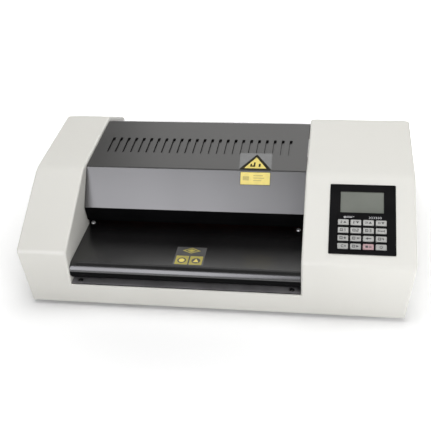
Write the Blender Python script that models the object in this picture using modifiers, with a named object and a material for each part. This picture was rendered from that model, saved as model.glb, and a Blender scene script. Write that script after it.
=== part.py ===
"""Desktop pouch laminator with four driven rollers, a folded steel casing, a vented
cover, a feed table and a sixteen-key control panel.

Frame: metres, +Z up, X to the operator's right, Y towards the back. The origin is the
centre of the footprint on the desk. Shop dimensions below are in millimetres: y is
measured back from the casing's front face and z up from the casing's lower edge.
"""
import math

import bmesh
import bpy
from mathutils import Matrix, Vector

# ---------------------------------------------------------------- dimensions (mm)
WIDTH = 560.0            # casing, side to side
DEPTH = 372.0            # front face to the rear sockets' faces
REAR_WALL = 369.5        # casing's rear face
FOOT = 6.0               # the casing's lower edge stands this far above the desk
SKIN = 2.0               # casing sheet
CREASE = (0.0, 87.0)     # side profile of the two towers
KNEE = (125.3, 153.6)
RIDGE = (288.6, 159.9)
REAR_TOP = (REAR_WALL, 120.6)
TAPER = 10.0             # each end leans in this much from crease height to the lower edge
BAY_L, BAY_R = -206.0, 126.0   # inner faces of the towers
TABLE_Z = 64.0           # top of the feed table
LEDGE_Z = 32.0           # top of the casing's front ledge
REAR_SILL = 45.0         # top of the casing's rear wall between the towers

ROLL_Y = (160.0, 214.0)  # front and rear roller pairs
ROLL_Z = (48.0, 84.0)    # lower and upper rollers
ROLL_R = 17.7            # silicone face
SHAFT_R = 6.0
FACE = (-203.0, 123.0)   # silicone face, left and right ends
MODULE = 1.5
TEETH, PINION_TEETH = 24, 18
GEAR_X = (138.0, 148.0)
PINION_Y = 187.0
FRAME_L, FRAME_R = (-214.5, -212.0), (132.0, 134.5)

PANEL_X, PANEL_S = 207.0, 71.4     # panel centre: across, and up the slope from the crease
PANEL_W, PANEL_H = 90.6, 109.6
KEY_W, KEY_H = 14.4, 8.4
KEY_PITCH_X, KEY_PITCH_Y = 17.1, 12.3
KEY_TOP_ROW = -6.4
SLOPE = math.atan2(KNEE[1] - CREASE[1], KNEE[0] - CREASE[0])

MM = 0.001
Y0, Z0 = -DEPTH / 2, FOOT

# ---------------------------------------------------------------- scene set-up
for old in list(bpy.data.objects):
    bpy.data.objects.remove(old, do_unlink=True)
scene = bpy.context.scene
parts = bpy.data.collections.new("pouch_laminator")
tools = bpy.data.collections.new("cutters")
scene.collection.children.link(parts)
scene.collection.children.link(tools)


def paint(name, colour, rough, metal=0.0):
    m = bpy.data.materials.new(name)
    m.use_nodes = True
    b = m.node_tree.nodes["Principled BSDF"]
    b.inputs["Base Color"].default_value = (*colour, 1.0)
    b.inputs["Roughness"].default_value = rough
    b.inputs["Metallic"].default_value = metal
    return m


WHITE = paint("casing_paint", (0.74, 0.73, 0.68), 0.45)
BLACK = paint("cover_paint", (0.045, 0.045, 0.048), 0.32)
STEEL = paint("zinc_steel", (0.55, 0.56, 0.57), 0.35, 1.0)
BRIGHT = paint("bright_screw", (0.75, 0.75, 0.76), 0.25, 1.0)
DARKSCREW = paint("black_screw", (0.03, 0.03, 0.03), 0.4, 0.5)
RUBBER = paint("foot_rubber", (0.03, 0.03, 0.03), 0.8)
SILICONE = paint("silicone", (0.35, 0.09, 0.05), 0.6)
NYLON = paint("gear_nylon", (0.78, 0.76, 0.70), 0.5)
BUSH = paint("bush_polymer", (0.22, 0.15, 0.08), 0.5)
ALLOY = paint("shoe_aluminium", (0.70, 0.71, 0.72), 0.4, 1.0)
SPRING = paint("spring_steel", (0.45, 0.45, 0.46), 0.3, 1.0)
BEZEL = paint("bezel_black", (0.012, 0.012, 0.014), 0.3)
LCD = paint("lcd_glass", (0.22, 0.235, 0.21), 0.15)
BOARD = paint("pcb_green", (0.03, 0.20, 0.08), 0.5)
KEY = paint("key_grey", (0.62, 0.62, 0.60), 0.5)
KEYRED = paint("key_red", (0.72, 0.42, 0.44), 0.5)
MOTOR = paint("motor_case", (0.30, 0.31, 0.33), 0.4, 0.8)
SOCKET = paint("socket_black", (0.02, 0.02, 0.02), 0.5)
ROCKER = paint("rocker_black", (0.02, 0.02, 0.02), 0.35)


def keep(obj, material, collection=parts):
    for c in list(obj.users_collection):
        c.objects.unlink(obj)
    collection.objects.link(obj)
    obj.data.materials.clear()
    if material:
        obj.data.materials.append(material)
    return obj


def tool(obj):
    """Makes obj a cutter or a piece to be joined: never a part of its own."""
    keep(obj, None, tools)
    obj.hide_render = True
    obj.display_type = "WIRE"
    return obj


def boolean(obj, other, how="DIFFERENCE"):
    m = obj.modifiers.new(how.lower(), "BOOLEAN")
    m.operation = how
    m.object = other
    m.solver = "EXACT"
    return obj


def smooth(obj, angle=35):
    obj.data.shade_smooth()
    obj.data.set_sharp_from_angle(angle=math.radians(angle))


def fillet(points, radii, seg=5, closed=True):
    """Replaces each corner that has a radius by an arc."""
    out, n = [], len(points)
    for i, p in enumerate(points):
        r = radii[i] if isinstance(radii, (list, tuple)) else radii
        if r <= 0 or (not closed and i in (0, n - 1)):
            out.append(tuple(p))
            continue
        p = Vector(p)
        a, b = Vector(points[i - 1]) - p, Vector(points[(i + 1) % n]) - p
        half = a.angle(b) / 2
        d = r / math.tan(half)
        a.normalize()
        b.normalize()
        centre = p + (a + b).normalized() * (r / math.sin(half))
        s, e = p + a * d - centre, p + b * d - centre
        turn = s.angle_signed(e)
        for k in range(seg + 1):
            v = s.copy()
            v.rotate(Matrix.Rotation(-turn * k / seg, 2))
            q = centre + v
            out.append((q.x, q.y))
    return out


def outline_solid(name, loops, thick, matrix):
    """A flat outline (mm), with any holes, as a 2D curve of the given thickness, made a mesh."""
    c = bpy.data.curves.new(name, "CURVE")
    c.dimensions = "2D"
    c.fill_mode = "BOTH"
    c.extrude = thick * MM / 2
    for loop in loops:
        s = c.splines.new("POLY")
        s.points.add(len(loop) - 1)
        for q, p in zip(s.points, loop):
            q.co = (p[0] * MM, p[1] * MM, 0, 1)
        s.use_cyclic_u = True
    o = bpy.data.objects.new(name + "_curve", c)
    scene.collection.objects.link(o)
    bpy.context.view_layer.update()
    mesh = bpy.data.meshes.new_from_object(
        o.evaluated_get(bpy.context.evaluated_depsgraph_get()))
    bpy.data.objects.remove(o, do_unlink=True)
    bm = bmesh.new()
    bm.from_mesh(mesh)
    bmesh.ops.remove_doubles(bm, verts=bm.verts, dist=1e-6)
    bmesh.ops.recalc_face_normals(bm, faces=bm.faces)
    bm.to_mesh(mesh)
    bm.free()
    solid = bpy.data.objects.new(name, mesh)
    scene.collection.objects.link(solid)
    solid.matrix_world = matrix
    return solid


# a profile drawn as (y, z) and extruded along X
SIDE = Matrix(((0, 0, 1, 0), (1, 0, 0, 0), (0, 1, 0, 0), (0, 0, 0, 1)))


def side_solid(name, loops, x0, x1, y=0.0, z=0.0):
    """Outline in shop (y, z), from x0 to x1. Its origin is at shop (y, z) on the mid-plane."""
    loops = [[(p[0] - y, p[1] - z) for p in loop] for loop in loops]
    at = Matrix.Translation(((x0 + x1) / 2 * MM, (Y0 + y) * MM, (Z0 + z) * MM))
    return outline_solid(name, loops, x1 - x0, at @ SIDE)


def box(name, x, y, z):
    """A box between shop limits x, y and z, each (low, high)."""
    bm = bmesh.new()
    bmesh.ops.create_cube(bm, size=1.0)
    bmesh.ops.scale(bm, vec=((x[1] - x[0]) * MM, (y[1] - y[0]) * MM, (z[1] - z[0]) * MM),
                    verts=bm.verts)
    mesh = bpy.data.meshes.new(name)
    bm.to_mesh(mesh)
    bm.free()
    o = bpy.data.objects.new(name, mesh)
    scene.collection.objects.link(o)
    o.location = ((x[0] + x[1]) / 2 * MM, (Y0 + (y[0] + y[1]) / 2) * MM,
                  (Z0 + (z[0] + z[1]) / 2) * MM)
    return o


def turned(name, profile, steps, x=0.0, y=0.0, z=0.0, upright=False, ring=False):
    """A profile of (radius, height), run down its outer side, turned about its own Z.
    The axis lies along X unless it is upright. (x, y, z) is the shop place of height 0."""
    bm = bmesh.new()
    vs = [bm.verts.new((r * MM, 0, h * MM)) for r, h in profile]
    for a, b in zip(vs, vs[1:]):
        bm.edges.new((a, b))
    if ring:
        bm.edges.new((vs[-1], vs[0]))
    mesh = bpy.data.meshes.new(name)
    bm.to_mesh(mesh)
    bm.free()
    o = bpy.data.objects.new(name, mesh)
    scene.collection.objects.link(o)
    s = o.modifiers.new("turn", "SCREW")
    s.axis = "Z"
    s.angle = 2 * math.pi
    s.steps = s.render_steps = steps
    s.use_merge_vertices = True
    s.merge_threshold = 1e-6
    s.use_smooth_shade = True
    o.location = (x * MM, (Y0 + y) * MM, (Z0 + z) * MM)
    if not upright:
        o.rotation_euler = (0, math.pi / 2, 0)
    return o


def frozen(obj):
    """obj with its modifiers made part of its mesh, for use in a Boolean."""
    bpy.context.view_layer.update()
    mesh = bpy.data.meshes.new_from_object(
        obj.evaluated_get(bpy.context.evaluated_depsgraph_get()))
    obj.modifiers.clear()
    obj.data = mesh
    return obj


def sheet(name, line, x0, x1, thick, inward=True):
    """A folded sheet: an open line of shop (y, z) swept from x0 to x1, with Solidify."""
    bm = bmesh.new()
    vs = [bm.verts.new((x0 * MM, (Y0 + p[0]) * MM, (Z0 + p[1]) * MM)) for p in line]
    es = [bm.edges.new((a, b)) for a, b in zip(vs, vs[1:])]
    made = bmesh.ops.extrude_edge_only(bm, edges=es)["geom"]
    bmesh.ops.translate(bm, vec=((x1 - x0) * MM, 0, 0),
                        verts=[g for g in made if isinstance(g, bmesh.types.BMVert)])
    bmesh.ops.recalc_face_normals(bm, faces=bm.faces)
    mesh = bpy.data.meshes.new(name)
    bm.to_mesh(mesh)
    bm.free()
    o = bpy.data.objects.new(name, mesh)
    scene.collection.objects.link(o)
    # Solidify grows to the left or the right of the line, whatever way its faces point.
    mid = Vector(((x0 + x1) / 2, Y0 + (line[0][0] + line[1][0]) / 2,
                  Z0 + (line[0][1] + line[1][1]) / 2)) * MM
    first = min(mesh.polygons, key=lambda p: (p.center - mid).length).normal
    run = Vector((0, line[1][0] - line[0][0], line[1][1] - line[0][1]))
    left = Vector((0, -run.z, run.y))
    same = first.dot(left) > 0
    s = o.modifiers.new("gauge", "SOLIDIFY")
    s.thickness = thick * MM
    s.offset = (1.0 if same else -1.0) * (-1.0 if inward else 1.0)
    s.use_even_offset = True
    return o


def circle(cy, cz, r, n, phase=0.0):
    return [(cy + r * math.cos(2 * math.pi * k / n + phase),
             cz + r * math.sin(2 * math.pi * k / n + phase)) for k in range(n)]


def lean(obj):
    """Cuts obj's ends at crease height and leans their lower halves in."""
    bm = bmesh.new()
    bm.from_mesh(obj.data)
    bm.transform(obj.matrix_world)
    h = (Z0 + CREASE[1]) * MM
    bmesh.ops.bisect_plane(bm, geom=bm.verts[:] + bm.edges[:] + bm.faces[:],
                           plane_co=(0, 0, h), plane_no=(0, 0, 1), dist=1e-7)
    for v in bm.verts:
        if v.co.z < h - 1e-6 and abs(v.co.x) > 0.24:
            v.co.x -= math.copysign(TAPER * MM * (h - v.co.z) / (CREASE[1] * MM), v.co.x)
    bm.to_mesh(obj.data)
    bm.free()
    obj.matrix_world = Matrix.Identity(4)
    return obj


# ---------------------------------------------------------------- casing
outer_line = fillet([(0, 0), CREASE, KNEE, RIDGE, REAR_TOP, (REAR_WALL, 0)],
                    [0, 9, 50, 14, 8, 0], seg=4)
casing = lean(side_solid("outer_casing", [outer_line], -WIDTH / 2, WIDTH / 2))
keep(casing, WHITE)


def inset_profile(d, floor):
    """The tower profile moved in by d, and open below."""
    pts = [Vector(CREASE), Vector(KNEE), Vector(RIDGE), Vector(REAR_TOP)]
    out = [(d, floor)]
    lines = [(Vector((0, 0)), pts[0])] + list(zip(pts, pts[1:])) + [
        (pts[-1], Vector((REAR_WALL, 0)))]
    moved = []
    for a, b in lines:
        t = (b - a).normalized()
        n = Vector((t.y, -t.x)) * d
        moved.append((a + n, b + n))
    for (a, b), (c, e) in zip(moved, moved[1:]):
        r, s = b - a, e - c
        k = (c - a).cross(s) / r.cross(s)
        out.append(tuple(a + r * k))
    out.append((REAR_WALL - d, floor))
    return out


inner = fillet(inset_profile(SKIN, -8), [0, 7, 48, 12, 6, 0], seg=4)
HALF = WIDTH / 2 - SKIN
left_bay = tool(lean(side_solid("cut_left_tower", [inner], -HALF, BAY_L - SKIN)))
right_bay = tool(lean(side_solid("cut_right_tower", [inner], BAY_R + SKIN, HALF)))
middle = tool(side_solid("cut_between_towers", [[
    (-10, LEDGE_Z), (18, LEDGE_Z), (18, -8), (REAR_WALL - SKIN, -8),
    (REAR_WALL - SKIN, REAR_SILL), (390, REAR_SILL), (390, 220), (-10, 220)]], BAY_L, BAY_R))
under = tool(side_solid("cut_below_tower_walls", [[
    (SKIN, -9), (SKIN, LEDGE_Z - SKIN), (17.0, LEDGE_Z - SKIN), (17.0, 56), (112, 56),
    (112, 100), (135, 130), (141, 139), (284, 146), (352, 112), (352, 56), (REAR_WALL - SKIN, 56),
    (REAR_WALL - SKIN, -9)]], BAY_L - 4, BAY_R + 4))
for c in (left_bay, right_bay, middle, under):
    boolean(casing, c)


def on_panel(name, loops, low, high):
    """Outline (mm) in the panel's own plane, from height low to high above the casing."""
    o = outline_solid(name, loops, high - low, Matrix.Identity(4))
    o.matrix_world = panel_place(0, 0, (low + high) / 2)
    return o


def panel_place(u, v, n):
    """World matrix of a point on the sloping panel."""
    s = PANEL_S + v
    y = CREASE[0] + s * math.cos(SLOPE) - n * math.sin(SLOPE)
    z = CREASE[1] + s * math.sin(SLOPE) + n * math.cos(SLOPE)
    return (Matrix.Translation(((PANEL_X + u) * MM, (Y0 + y) * MM, (Z0 + z) * MM))
            @ Matrix.Rotation(SLOPE, 4, "X"))


def rect(w, h, cx=0.0, cy=0.0, r=0.0, seg=3):
    p = [(cx - w / 2, cy - h / 2), (cx + w / 2, cy - h / 2), (cx + w / 2, cy + h / 2),
         (cx - w / 2, cy + h / 2)]
    return fillet(p, r, seg) if r else p


boolean(casing, tool(on_panel("cut_panel", [rect(84, 103)], -6, 6)))

INLET_X, INLET_Z = 218.0, 48.0
SWITCH_X, SWITCH_Z = 172.0, 48.0
boolean(casing, tool(box("cut_inlet", (INLET_X - 14.5, INLET_X + 14.5), (360, 380),
                         (INLET_Z - 11.5, INLET_Z + 11.5))))
boolean(casing, tool(box("cut_switch", (SWITCH_X - 7.2, SWITCH_X + 7.2), (360, 380),
                         (SWITCH_Z - 10.7, SWITCH_Z + 10.7))))
FLANGE_SCREWS = (-193.5, 113.5)
for i, sx in enumerate(FLANGE_SCREWS):
    boolean(casing, tool(turned(f"cut_ledge_{i}", [(0, 8), (2.3, 8), (2.3, -8), (0, -8)],
                                16, sx, 8.0, 31.0, upright=True)))

# ---------------------------------------------------------------- base plate and feet
base = keep(box("base_plate", (-267.0, 267.0), (3.0, 366.5), (0.5, 2.0)), STEEL)
slots = []
for row, yc in enumerate((75.0, 300.0)):
    for k in range(9):
        xc = -176 + 34 * k
        slots.append(rect(4, 34, xc, yc))
vents = outline_solid("cut_base_vents", slots, 8, Matrix.Translation(
    (0, Y0 * MM, (Z0 + 1.2) * MM)))
boolean(base, tool(vents))

for side, sx in (("left", -232.0), ("right", 232.0)):
    for end, sy in (("front", 38.0), ("rear", 332.0)):
        foot = turned(f"foot_{end}_{side}", [(0, 0.2), (12, 0.2), (12, -1.2), (10.6, -FOOT + 0.8),
                                             (9.8, -FOOT), (0, -FOOT)], 20, sx, sy, 0,
                      upright=True)
        keep(foot, RUBBER)

# ---------------------------------------------------------------- vented cover
COVER_L, COVER_R = BAY_L + 0.5, BAY_R - 0.5
cover_line = fillet([(107, 74), (101.4, 100), (139.6, 150), (280, 156.1), (359.5, 117.5),
                     (364, 86)], [0, 1.6, 3, 7, 6, 0], seg=3, closed=False)
cover = keep(sheet("top_cover", cover_line, COVER_L, COVER_R, 1.5), BLACK)
louvres = []
for k in range(24):
    louvres.append(rect(4.6, 42, -183.0 + 12.25 * k, 204.0))
vent_cut = outline_solid("cut_cover_vents", louvres, 30, Matrix.Translation(
    (0, Y0 * MM, (Z0 + 152) * MM)))
boolean(cover, tool(vent_cut))

# ---------------------------------------------------------------- feed table
nose = [(15 + 13 * math.cos(math.radians(a)), 51 + 13 * math.sin(math.radians(a)))
        for a in range(90, 271, 15)]
table_line = [(137.5, 62.6), (128.0, TABLE_Z)] + nose + [(20.5, 38), (20.5, 33.8), (1.0, 33.8)]
table = sheet("feed_table", table_line, BAY_L + 0.4, BAY_R - 0.4, 1.2, inward=False)
keep(table, BLACK)
TABLE_SCREWS = (-199.5, 116.5)
for i, sx in enumerate(TABLE_SCREWS):
    boolean(table, tool(turned(f"cut_table_{i}", [(0, 6), (2.4, 6), (2.4, -6), (0, -6)], 16,
                               sx, 113.5, 63.4, upright=True)))
for i, sx in enumerate(FLANGE_SCREWS):
    boolean(table, tool(turned(f"cut_flange_{i}", [(0, 2.6), (2.3, 2.6), (2.3, -2.6), (0, -2.6)],
                               16, sx, 8.0, 33.4, upright=True)))


def pan_screw(name, sx, sy, z, head_r, head_h, shank_r, shank, material):
    """A pan-head screw standing on height z."""
    o = turned(name, [(0, head_h), (head_r * 0.55, head_h), (head_r * 0.86, head_h * 0.75),
                      (head_r, head_h * 0.3), (head_r, 0.3), (shank_r, 0.3),
                      (shank_r, -shank), (0, -shank)], 14, sx, sy, z, upright=True)
    return keep(o, material)


for side, sx in zip(("left", "right"), TABLE_SCREWS):
    pan_screw(f"table_screw_{side}", sx, 113.5, TABLE_Z, 3.6, 2.6, 1.9, 9, BRIGHT)
for side, sx in zip(("left", "right"), FLANGE_SCREWS):
    pan_screw(f"flange_screw_{side}", sx, 8.0, 33.8, 3.6, 2.3, 1.9, 9, DARKSCREW)

# ---------------------------------------------------------------- exit guide
exit_line = [(238, 63.0), (346, 58.0), (369.2, 46.8)]
keep(sheet("exit_guide", exit_line, BAY_L + 0.4, BAY_R - 0.4, 1.2, inward=True), BLACK)

# ---------------------------------------------------------------- side frames
BUSH_R = 9.0
PINION_Z = ROLL_Z[0] - math.sqrt(
    (MODULE * (TEETH + PINION_TEETH) / 2) ** 2 - (PINION_Y - ROLL_Y[0]) ** 2)


def side_frame(name, x0, x1, outward, motor_hole):
    top = 126.0
    slot_r = BUSH_R + 0.4
    frame_line = fillet([(128, 2.4), (246, 2.4), (246, 96), (228, top), (146, top), (128, 108)],
                        [0, 0, 4, 4, 4, 4], seg=2)
    upper_slot = [(ROLL_Y[0] + slot_r * math.cos(a), ROLL_Z[1] + slot_r * math.sin(a))
                  for a in [math.radians(180 + 180 * k / 12) for k in range(13)]]
    upper_slot += [(ROLL_Y[0] + slot_r, 113.0), (ROLL_Y[0] - slot_r, 113.0)]
    holes = [circle(ROLL_Y[0], ROLL_Z[0], slot_r, 20), circle(ROLL_Y[1], ROLL_Z[0], slot_r, 20),
             circle(ROLL_Y[1], ROLL_Z[1], slot_r, 20), upper_slot]
    if motor_hole:
        holes.append(circle(PINION_Y, PINION_Z, 6.0, 20))
    o = side_solid(name, [frame_line] + holes, x0, x1)
    keep(o, STEEL)
    fx = (x1 - 1.0, x1 + 14) if outward > 0 else (x0 - 14, x0 + 1.0)
    foot = tool(box(name + "_foot", fx, (128, 246), (2.4, 4.9)))
    boolean(o, foot, "UNION")
    return o


side_frame("side_frame_left", *FRAME_L, -1, False)
side_frame("side_frame_right", *FRAME_R, -1, True)

# ---------------------------------------------------------------- rollers and bushes
for level, rz in zip(("lower", "upper"), ROLL_Z):
    for end, ry in zip(("front", "rear"), ROLL_Y):
        mid = (FACE[0] + FACE[1]) / 2
        hi, lo = FACE[1] - mid, FACE[0] - mid
        prof = [(0, 152 - mid), (5.4, 152 - mid), (SHAFT_R, 151.4 - mid), (SHAFT_R, hi + 1.2),
                (14.5, hi + 1.2), (14.5, hi), (ROLL_R - 0.5, hi), (ROLL_R, hi - 0.8),
                (ROLL_R, lo + 0.8), (ROLL_R - 0.5, lo), (14.5, lo), (14.5, lo - 1.2),
                (SHAFT_R, lo - 1.2), (SHAFT_R, -220.4 - mid), (5.4, -221 - mid), (0, -221 - mid)]
        keep(turned(f"roller_{level}_{end}", prof, 24, mid, ry, rz), SILICONE)
        for side, (x0, x1), sgn in (("left", FRAME_L, -1), ("right", FRAME_R, 1)):
            out = x0 - 0.3 if sgn < 0 else x1 + 0.3
            inn = x1 + 2.0 if sgn < 0 else x0 - 2.0
            tip = out + sgn * 2.4
            # heights along the axis, measured from the frame's outer face
            a, b, c = (inn, out, tip) if sgn < 0 else (tip, out, inn)
            if sgn < 0:
                prof = [(BUSH_R, a), (BUSH_R, b), (11.5, b), (11.5, c), (6.3, c), (6.3, a)]
            else:
                prof = [(11.5, a), (11.5, b), (BUSH_R, b), (BUSH_R, c), (6.3, c), (6.3, a)]
            centre = (x0 + x1) / 2
            prof = [(r, h - centre) for r, h in prof]
            keep(turned(f"bush_{level}_{end}_{side}", prof, 16, centre, ry, rz, ring=True), BUSH)


# ---------------------------------------------------------------- gears
def involute(rb, r):
    return math.sqrt(max((r / rb) ** 2 - 1, 0)) - math.acos(min(rb / r, 1))


def tooth_line(teeth, phase, backlash=0.16):
    """Outline of a spur gear whose tooth 0 is centred on phase (radians)."""
    r = MODULE * teeth / 2
    rb = r * math.cos(math.radians(20))
    tip, root = r + 0.88 * MODULE, r - 1.22 * MODULE
    half = math.pi / (2 * teeth) - backlash / 2 / r
    at_pitch = half + involute(rb, r)
    radii = [max(root, rb), r + 0.1, tip]
    flank = [(q, at_pitch - involute(rb, q)) for q in radii]
    pts = []
    for k in range(teeth):
        c = phase + 2 * math.pi * k / teeth
        side = [(root, min(flank[0][1] + 0.012, math.pi / teeth * 0.93))] + flank[1:]
        for q, w in side:
            pts.append((q, c - w))
        for q, w in reversed(side):
            pts.append((q, c + w))
    return [(q * math.cos(a), q * math.sin(a)) for q, a in pts]


def phase_of_mate(teeth_a, phase_a, direction, teeth_b):
    """Phase of gear b in mesh with gear a, which lies in direction (radians) from a."""
    step = 2 * math.pi / teeth_a
    off = (phase_a - direction + step / 2) % step - step / 2
    return direction + math.pi + math.pi / teeth_b - off * teeth_a / teeth_b


UP = math.pi / 2
to_pinion = math.atan2(PINION_Z - ROLL_Z[0], PINION_Y - ROLL_Y[0])
phase_lf = UP
phase_uf = phase_of_mate(TEETH, phase_lf, UP, TEETH)
phase_p = phase_of_mate(TEETH, phase_lf, to_pinion, PINION_TEETH)
phase_lr = phase_of_mate(PINION_TEETH, phase_p, -to_pinion, TEETH)
phase_ur = phase_of_mate(TEETH, phase_lr, UP, TEETH)


def gear(name, teeth, phase, y, z, bore):
    line = [(y + a, z + b) for a, b in tooth_line(teeth, phase)]
    loops = [line] + ([circle(y, z, bore, 16)] if bore else [])
    return keep(side_solid(name, loops, *GEAR_X, y=y, z=z), NYLON)


gear("gear_lower_front", TEETH, phase_lf, ROLL_Y[0], ROLL_Z[0], 6.3)
gear("gear_upper_front", TEETH, phase_uf, ROLL_Y[0], ROLL_Z[1], 6.3)
gear("gear_lower_rear", TEETH, phase_lr, ROLL_Y[1], ROLL_Z[0], 6.3)
gear("gear_upper_rear", TEETH, phase_ur, ROLL_Y[1], ROLL_Z[1], 6.3)
pinion = gear("motor_pinion", PINION_TEETH, phase_p, PINION_Y, PINION_Z, 0)
boolean(pinion, tool(turned("pinion_shaft", [(0, 18), (3.6, 18), (4, 17.6), (4, -8), (0, -8)],
                            20, 143.0, PINION_Y, PINION_Z)), "UNION")

# ---------------------------------------------------------------- drive motor
gearbox = box("drive_motor", (152.5, 173.0), (158.0, 216.0), (2.4, 61.0))
keep(gearbox, MOTOR)
bev = gearbox.modifiers.new("edges", "BEVEL")
bev.width = 2.0 * MM
bev.segments = 2
boolean(gearbox, tool(frozen(turned("motor_barrel", [(0, 45), (23, 45), (25.5, 43), (25.5, -3),
                                                     (0, -3)], 28, 172.5, PINION_Y, 33.0))),
        "UNION")
boolean(gearbox, tool(turned("cut_motor_shaft", [(0, 12), (4.5, 12), (4.5, -12), (0, -12)], 20,
                             154.0, PINION_Y, PINION_Z)))

# ---------------------------------------------------------------- heating shoes
def shoe_line(sign):
    """Two arcs round the roller pair, joined between them."""
    z = ROLL_Z[1] if sign > 0 else ROLL_Z[0]
    r = 20.6
    pts = [(ROLL_Y[0] + r * math.cos(math.radians(a)), z + sign * r * math.sin(math.radians(a)))
           for a in range(168, 29, -12)]
    pts += [(ROLL_Y[1] + r * math.cos(math.radians(a)), z + sign * r * math.sin(math.radians(a)))
            for a in range(150, 11, -12)]
    return pts


keep(sheet("heating_shoe_upper", shoe_line(1), -208.4, 128.4, 2.2, inward=False), ALLOY)
lower_shoe = keep(sheet("heating_shoe_lower", shoe_line(-1), -208.4, 128.4, 2.2, inward=True),
                  ALLOY)

# ---------------------------------------------------------------- pressure springs
def coil(name, x, y, z0, z1, radius, wire, turns):
    c = bpy.data.curves.new(name, "CURVE")
    c.dimensions = "3D"
    c.bevel_depth = wire / 2 * MM
    c.bevel_resolution = 1
    c.use_fill_caps = True
    s = c.splines.new("POLY")
    n = int(turns * 8)
    s.points.add(n)
    low, high = z0 + wire / 2, z1 - wire / 2
    for k in range(n + 1):
        t = k / n
        # closed end turns: the pitch fades to the wire's own width at both ends
        e = 1.0 / turns
        if t < e:
            h = low + (t / e) * wire * 1.12
        elif t > 1 - e:
            h = high - ((1 - t) / e) * wire * 1.12
        else:
            h = low + wire * 1.12 + (t - e) / (1 - 2 * e) * (high - low - 2.24 * wire)
        a = 2 * math.pi * turns * t
        s.points[k].co = (radius * math.cos(a) * MM, radius * math.sin(a) * MM,
                          (h - z0) * MM, 1)
    o = bpy.data.objects.new(name, c)
    scene.collection.objects.link(o)
    o.location = (x * MM, (Y0 + y) * MM, (Z0 + z0) * MM)
    for col in list(o.users_collection):
        col.objects.unlink(o)
    parts.objects.link(o)
    c.materials.append(SPRING)
    return o


for side, (x0, x1) in (("left", FRAME_L), ("right", FRAME_R)):
    coil(f"pressure_spring_{side}", (x0 + x1) / 2, ROLL_Y[0], ROLL_Z[1] + BUSH_R + 2.8,
         112.6, 3.6, 1.2, 5)

# ---------------------------------------------------------------- control panel
key_u = [(k - 1.5) * KEY_PITCH_X - 0.4 for k in range(4)]
key_v = [KEY_TOP_ROW - k * KEY_PITCH_Y for k in range(4)]
bezel = keep(on_panel("control_bezel", [rect(PANEL_W, PANEL_H, r=1.5)], 0.3, 1.8), BEZEL)
skirt = tool(on_panel("bezel_skirt", [rect(83.0, 102.0)], -8.0, 0.9))
boolean(bezel, skirt, "UNION")
boolean(bezel, tool(on_panel("cut_bezel_skirt", [rect(79.4, 98.4)], -9.0, 0.3)))
boolean(bezel, tool(on_panel("cut_lcd_window", [rect(59.6, 34.2, -0.8, 26.5)], -1.0, 3.0)))
boolean(bezel, tool(on_panel("cut_key_windows", [
    rect(KEY_W + 0.7, KEY_H + 0.7, u, v) for v in key_v for u in key_u], -1.0, 3.0)))

keep(on_panel("lcd_display", [rect(66.0, 39.0, -0.8, 26.5)], -3.3, 0.0), LCD)

board = keep(on_panel("control_board", [rect(78.4, 97.4)], -5.4, -3.8), BOARD)
switches = tool(on_panel("tact_switches", [rect(6, 6, u, v) for v in key_v for u in key_u],
                         -4.6, -2.1))
boolean(board, switches, "UNION")

NAMES = (("temp_up", "temp_down", "speed_up", "speed_down"),
         ("preset_1", "preset_2", "preset_3", "measure"),
         ("cold", "hot", "reverse", "preset_4"),
         ("standby", "run", "stop", "power"))


def key(name, u, v, material):
    bm = bmesh.new()
    bmesh.ops.create_cube(bm, size=1.0)
    bmesh.ops.scale(bm, vec=(KEY_W * MM, KEY_H * MM, 2.9 * MM), verts=bm.verts)
    bmesh.ops.translate(bm, vec=(0, 0, 1.15 * MM), verts=bm.verts)
    rim = [e for e in bm.edges if all(x.co.z > 0 for x in e.verts)]
    bmesh.ops.bevel(bm, geom=rim, offset=0.45 * MM, segments=2, profile=0.5,
                    affect="EDGES", clamp_overlap=True)
    mesh = bpy.data.meshes.new(name)
    bm.to_mesh(mesh)
    bm.free()
    o = bpy.data.objects.new(name, mesh)
    scene.collection.objects.link(o)
    o.matrix_world = panel_place(u, v, 0)
    keep(o, material)
    rim_plate = outline_solid(name + "_rim", [rect(15.9, 10.4)], 0.9, Matrix.Identity(4))
    rim_plate.matrix_world = panel_place(u, v, -0.45)
    boolean(o, tool(rim_plate), "UNION")
    return o


for r, v in enumerate(key_v):
    for c, u in enumerate(key_u):
        name = NAMES[r][c]
        key(f"key_{name}", u, v, KEYRED if name == "stop" else KEY)

# ---------------------------------------------------------------- rear sockets
inlet = keep(box("power_inlet", (INLET_X - 17, INLET_X + 17), (369.8, DEPTH),
                 (INLET_Z - 14, INLET_Z + 14)), SOCKET)
boolean(inlet, tool(box("inlet_body", (INLET_X - 14, INLET_X + 14), (350.0, 370.6),
                        (INLET_Z - 11, INLET_Z + 11))), "UNION")
boolean(inlet, tool(box("cut_inlet_socket", (INLET_X - 12, INLET_X + 12), (354.0, 380.0),
                        (INLET_Z - 9, INLET_Z + 9))))
for i, (px, pz) in enumerate(((-7, -1.6), (7, -1.6), (0, -5.6))):
    boolean(inlet, tool(box(f"inlet_pin_{i}", (INLET_X + px - 1, INLET_X + px + 1),
                            (353.0, 368.0), (INLET_Z + pz - 2, INLET_Z + pz + 2))), "UNION")

housing = keep(box("power_switch_housing", (SWITCH_X - 9, SWITCH_X + 9), (369.8, DEPTH),
                   (SWITCH_Z - 12.6, SWITCH_Z + 12.6)), SOCKET)
boolean(housing, tool(box("switch_body", (SWITCH_X - 6.8, SWITCH_X + 6.8), (352.0, 370.6),
                          (SWITCH_Z - 10.3, SWITCH_Z + 10.3))), "UNION")
boolean(housing, tool(box("cut_switch_body", (SWITCH_X - 5.6, SWITCH_X + 5.6), (358.0, 380.0),
                          (SWITCH_Z - 9.2, SWITCH_Z + 9.2))))

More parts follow.
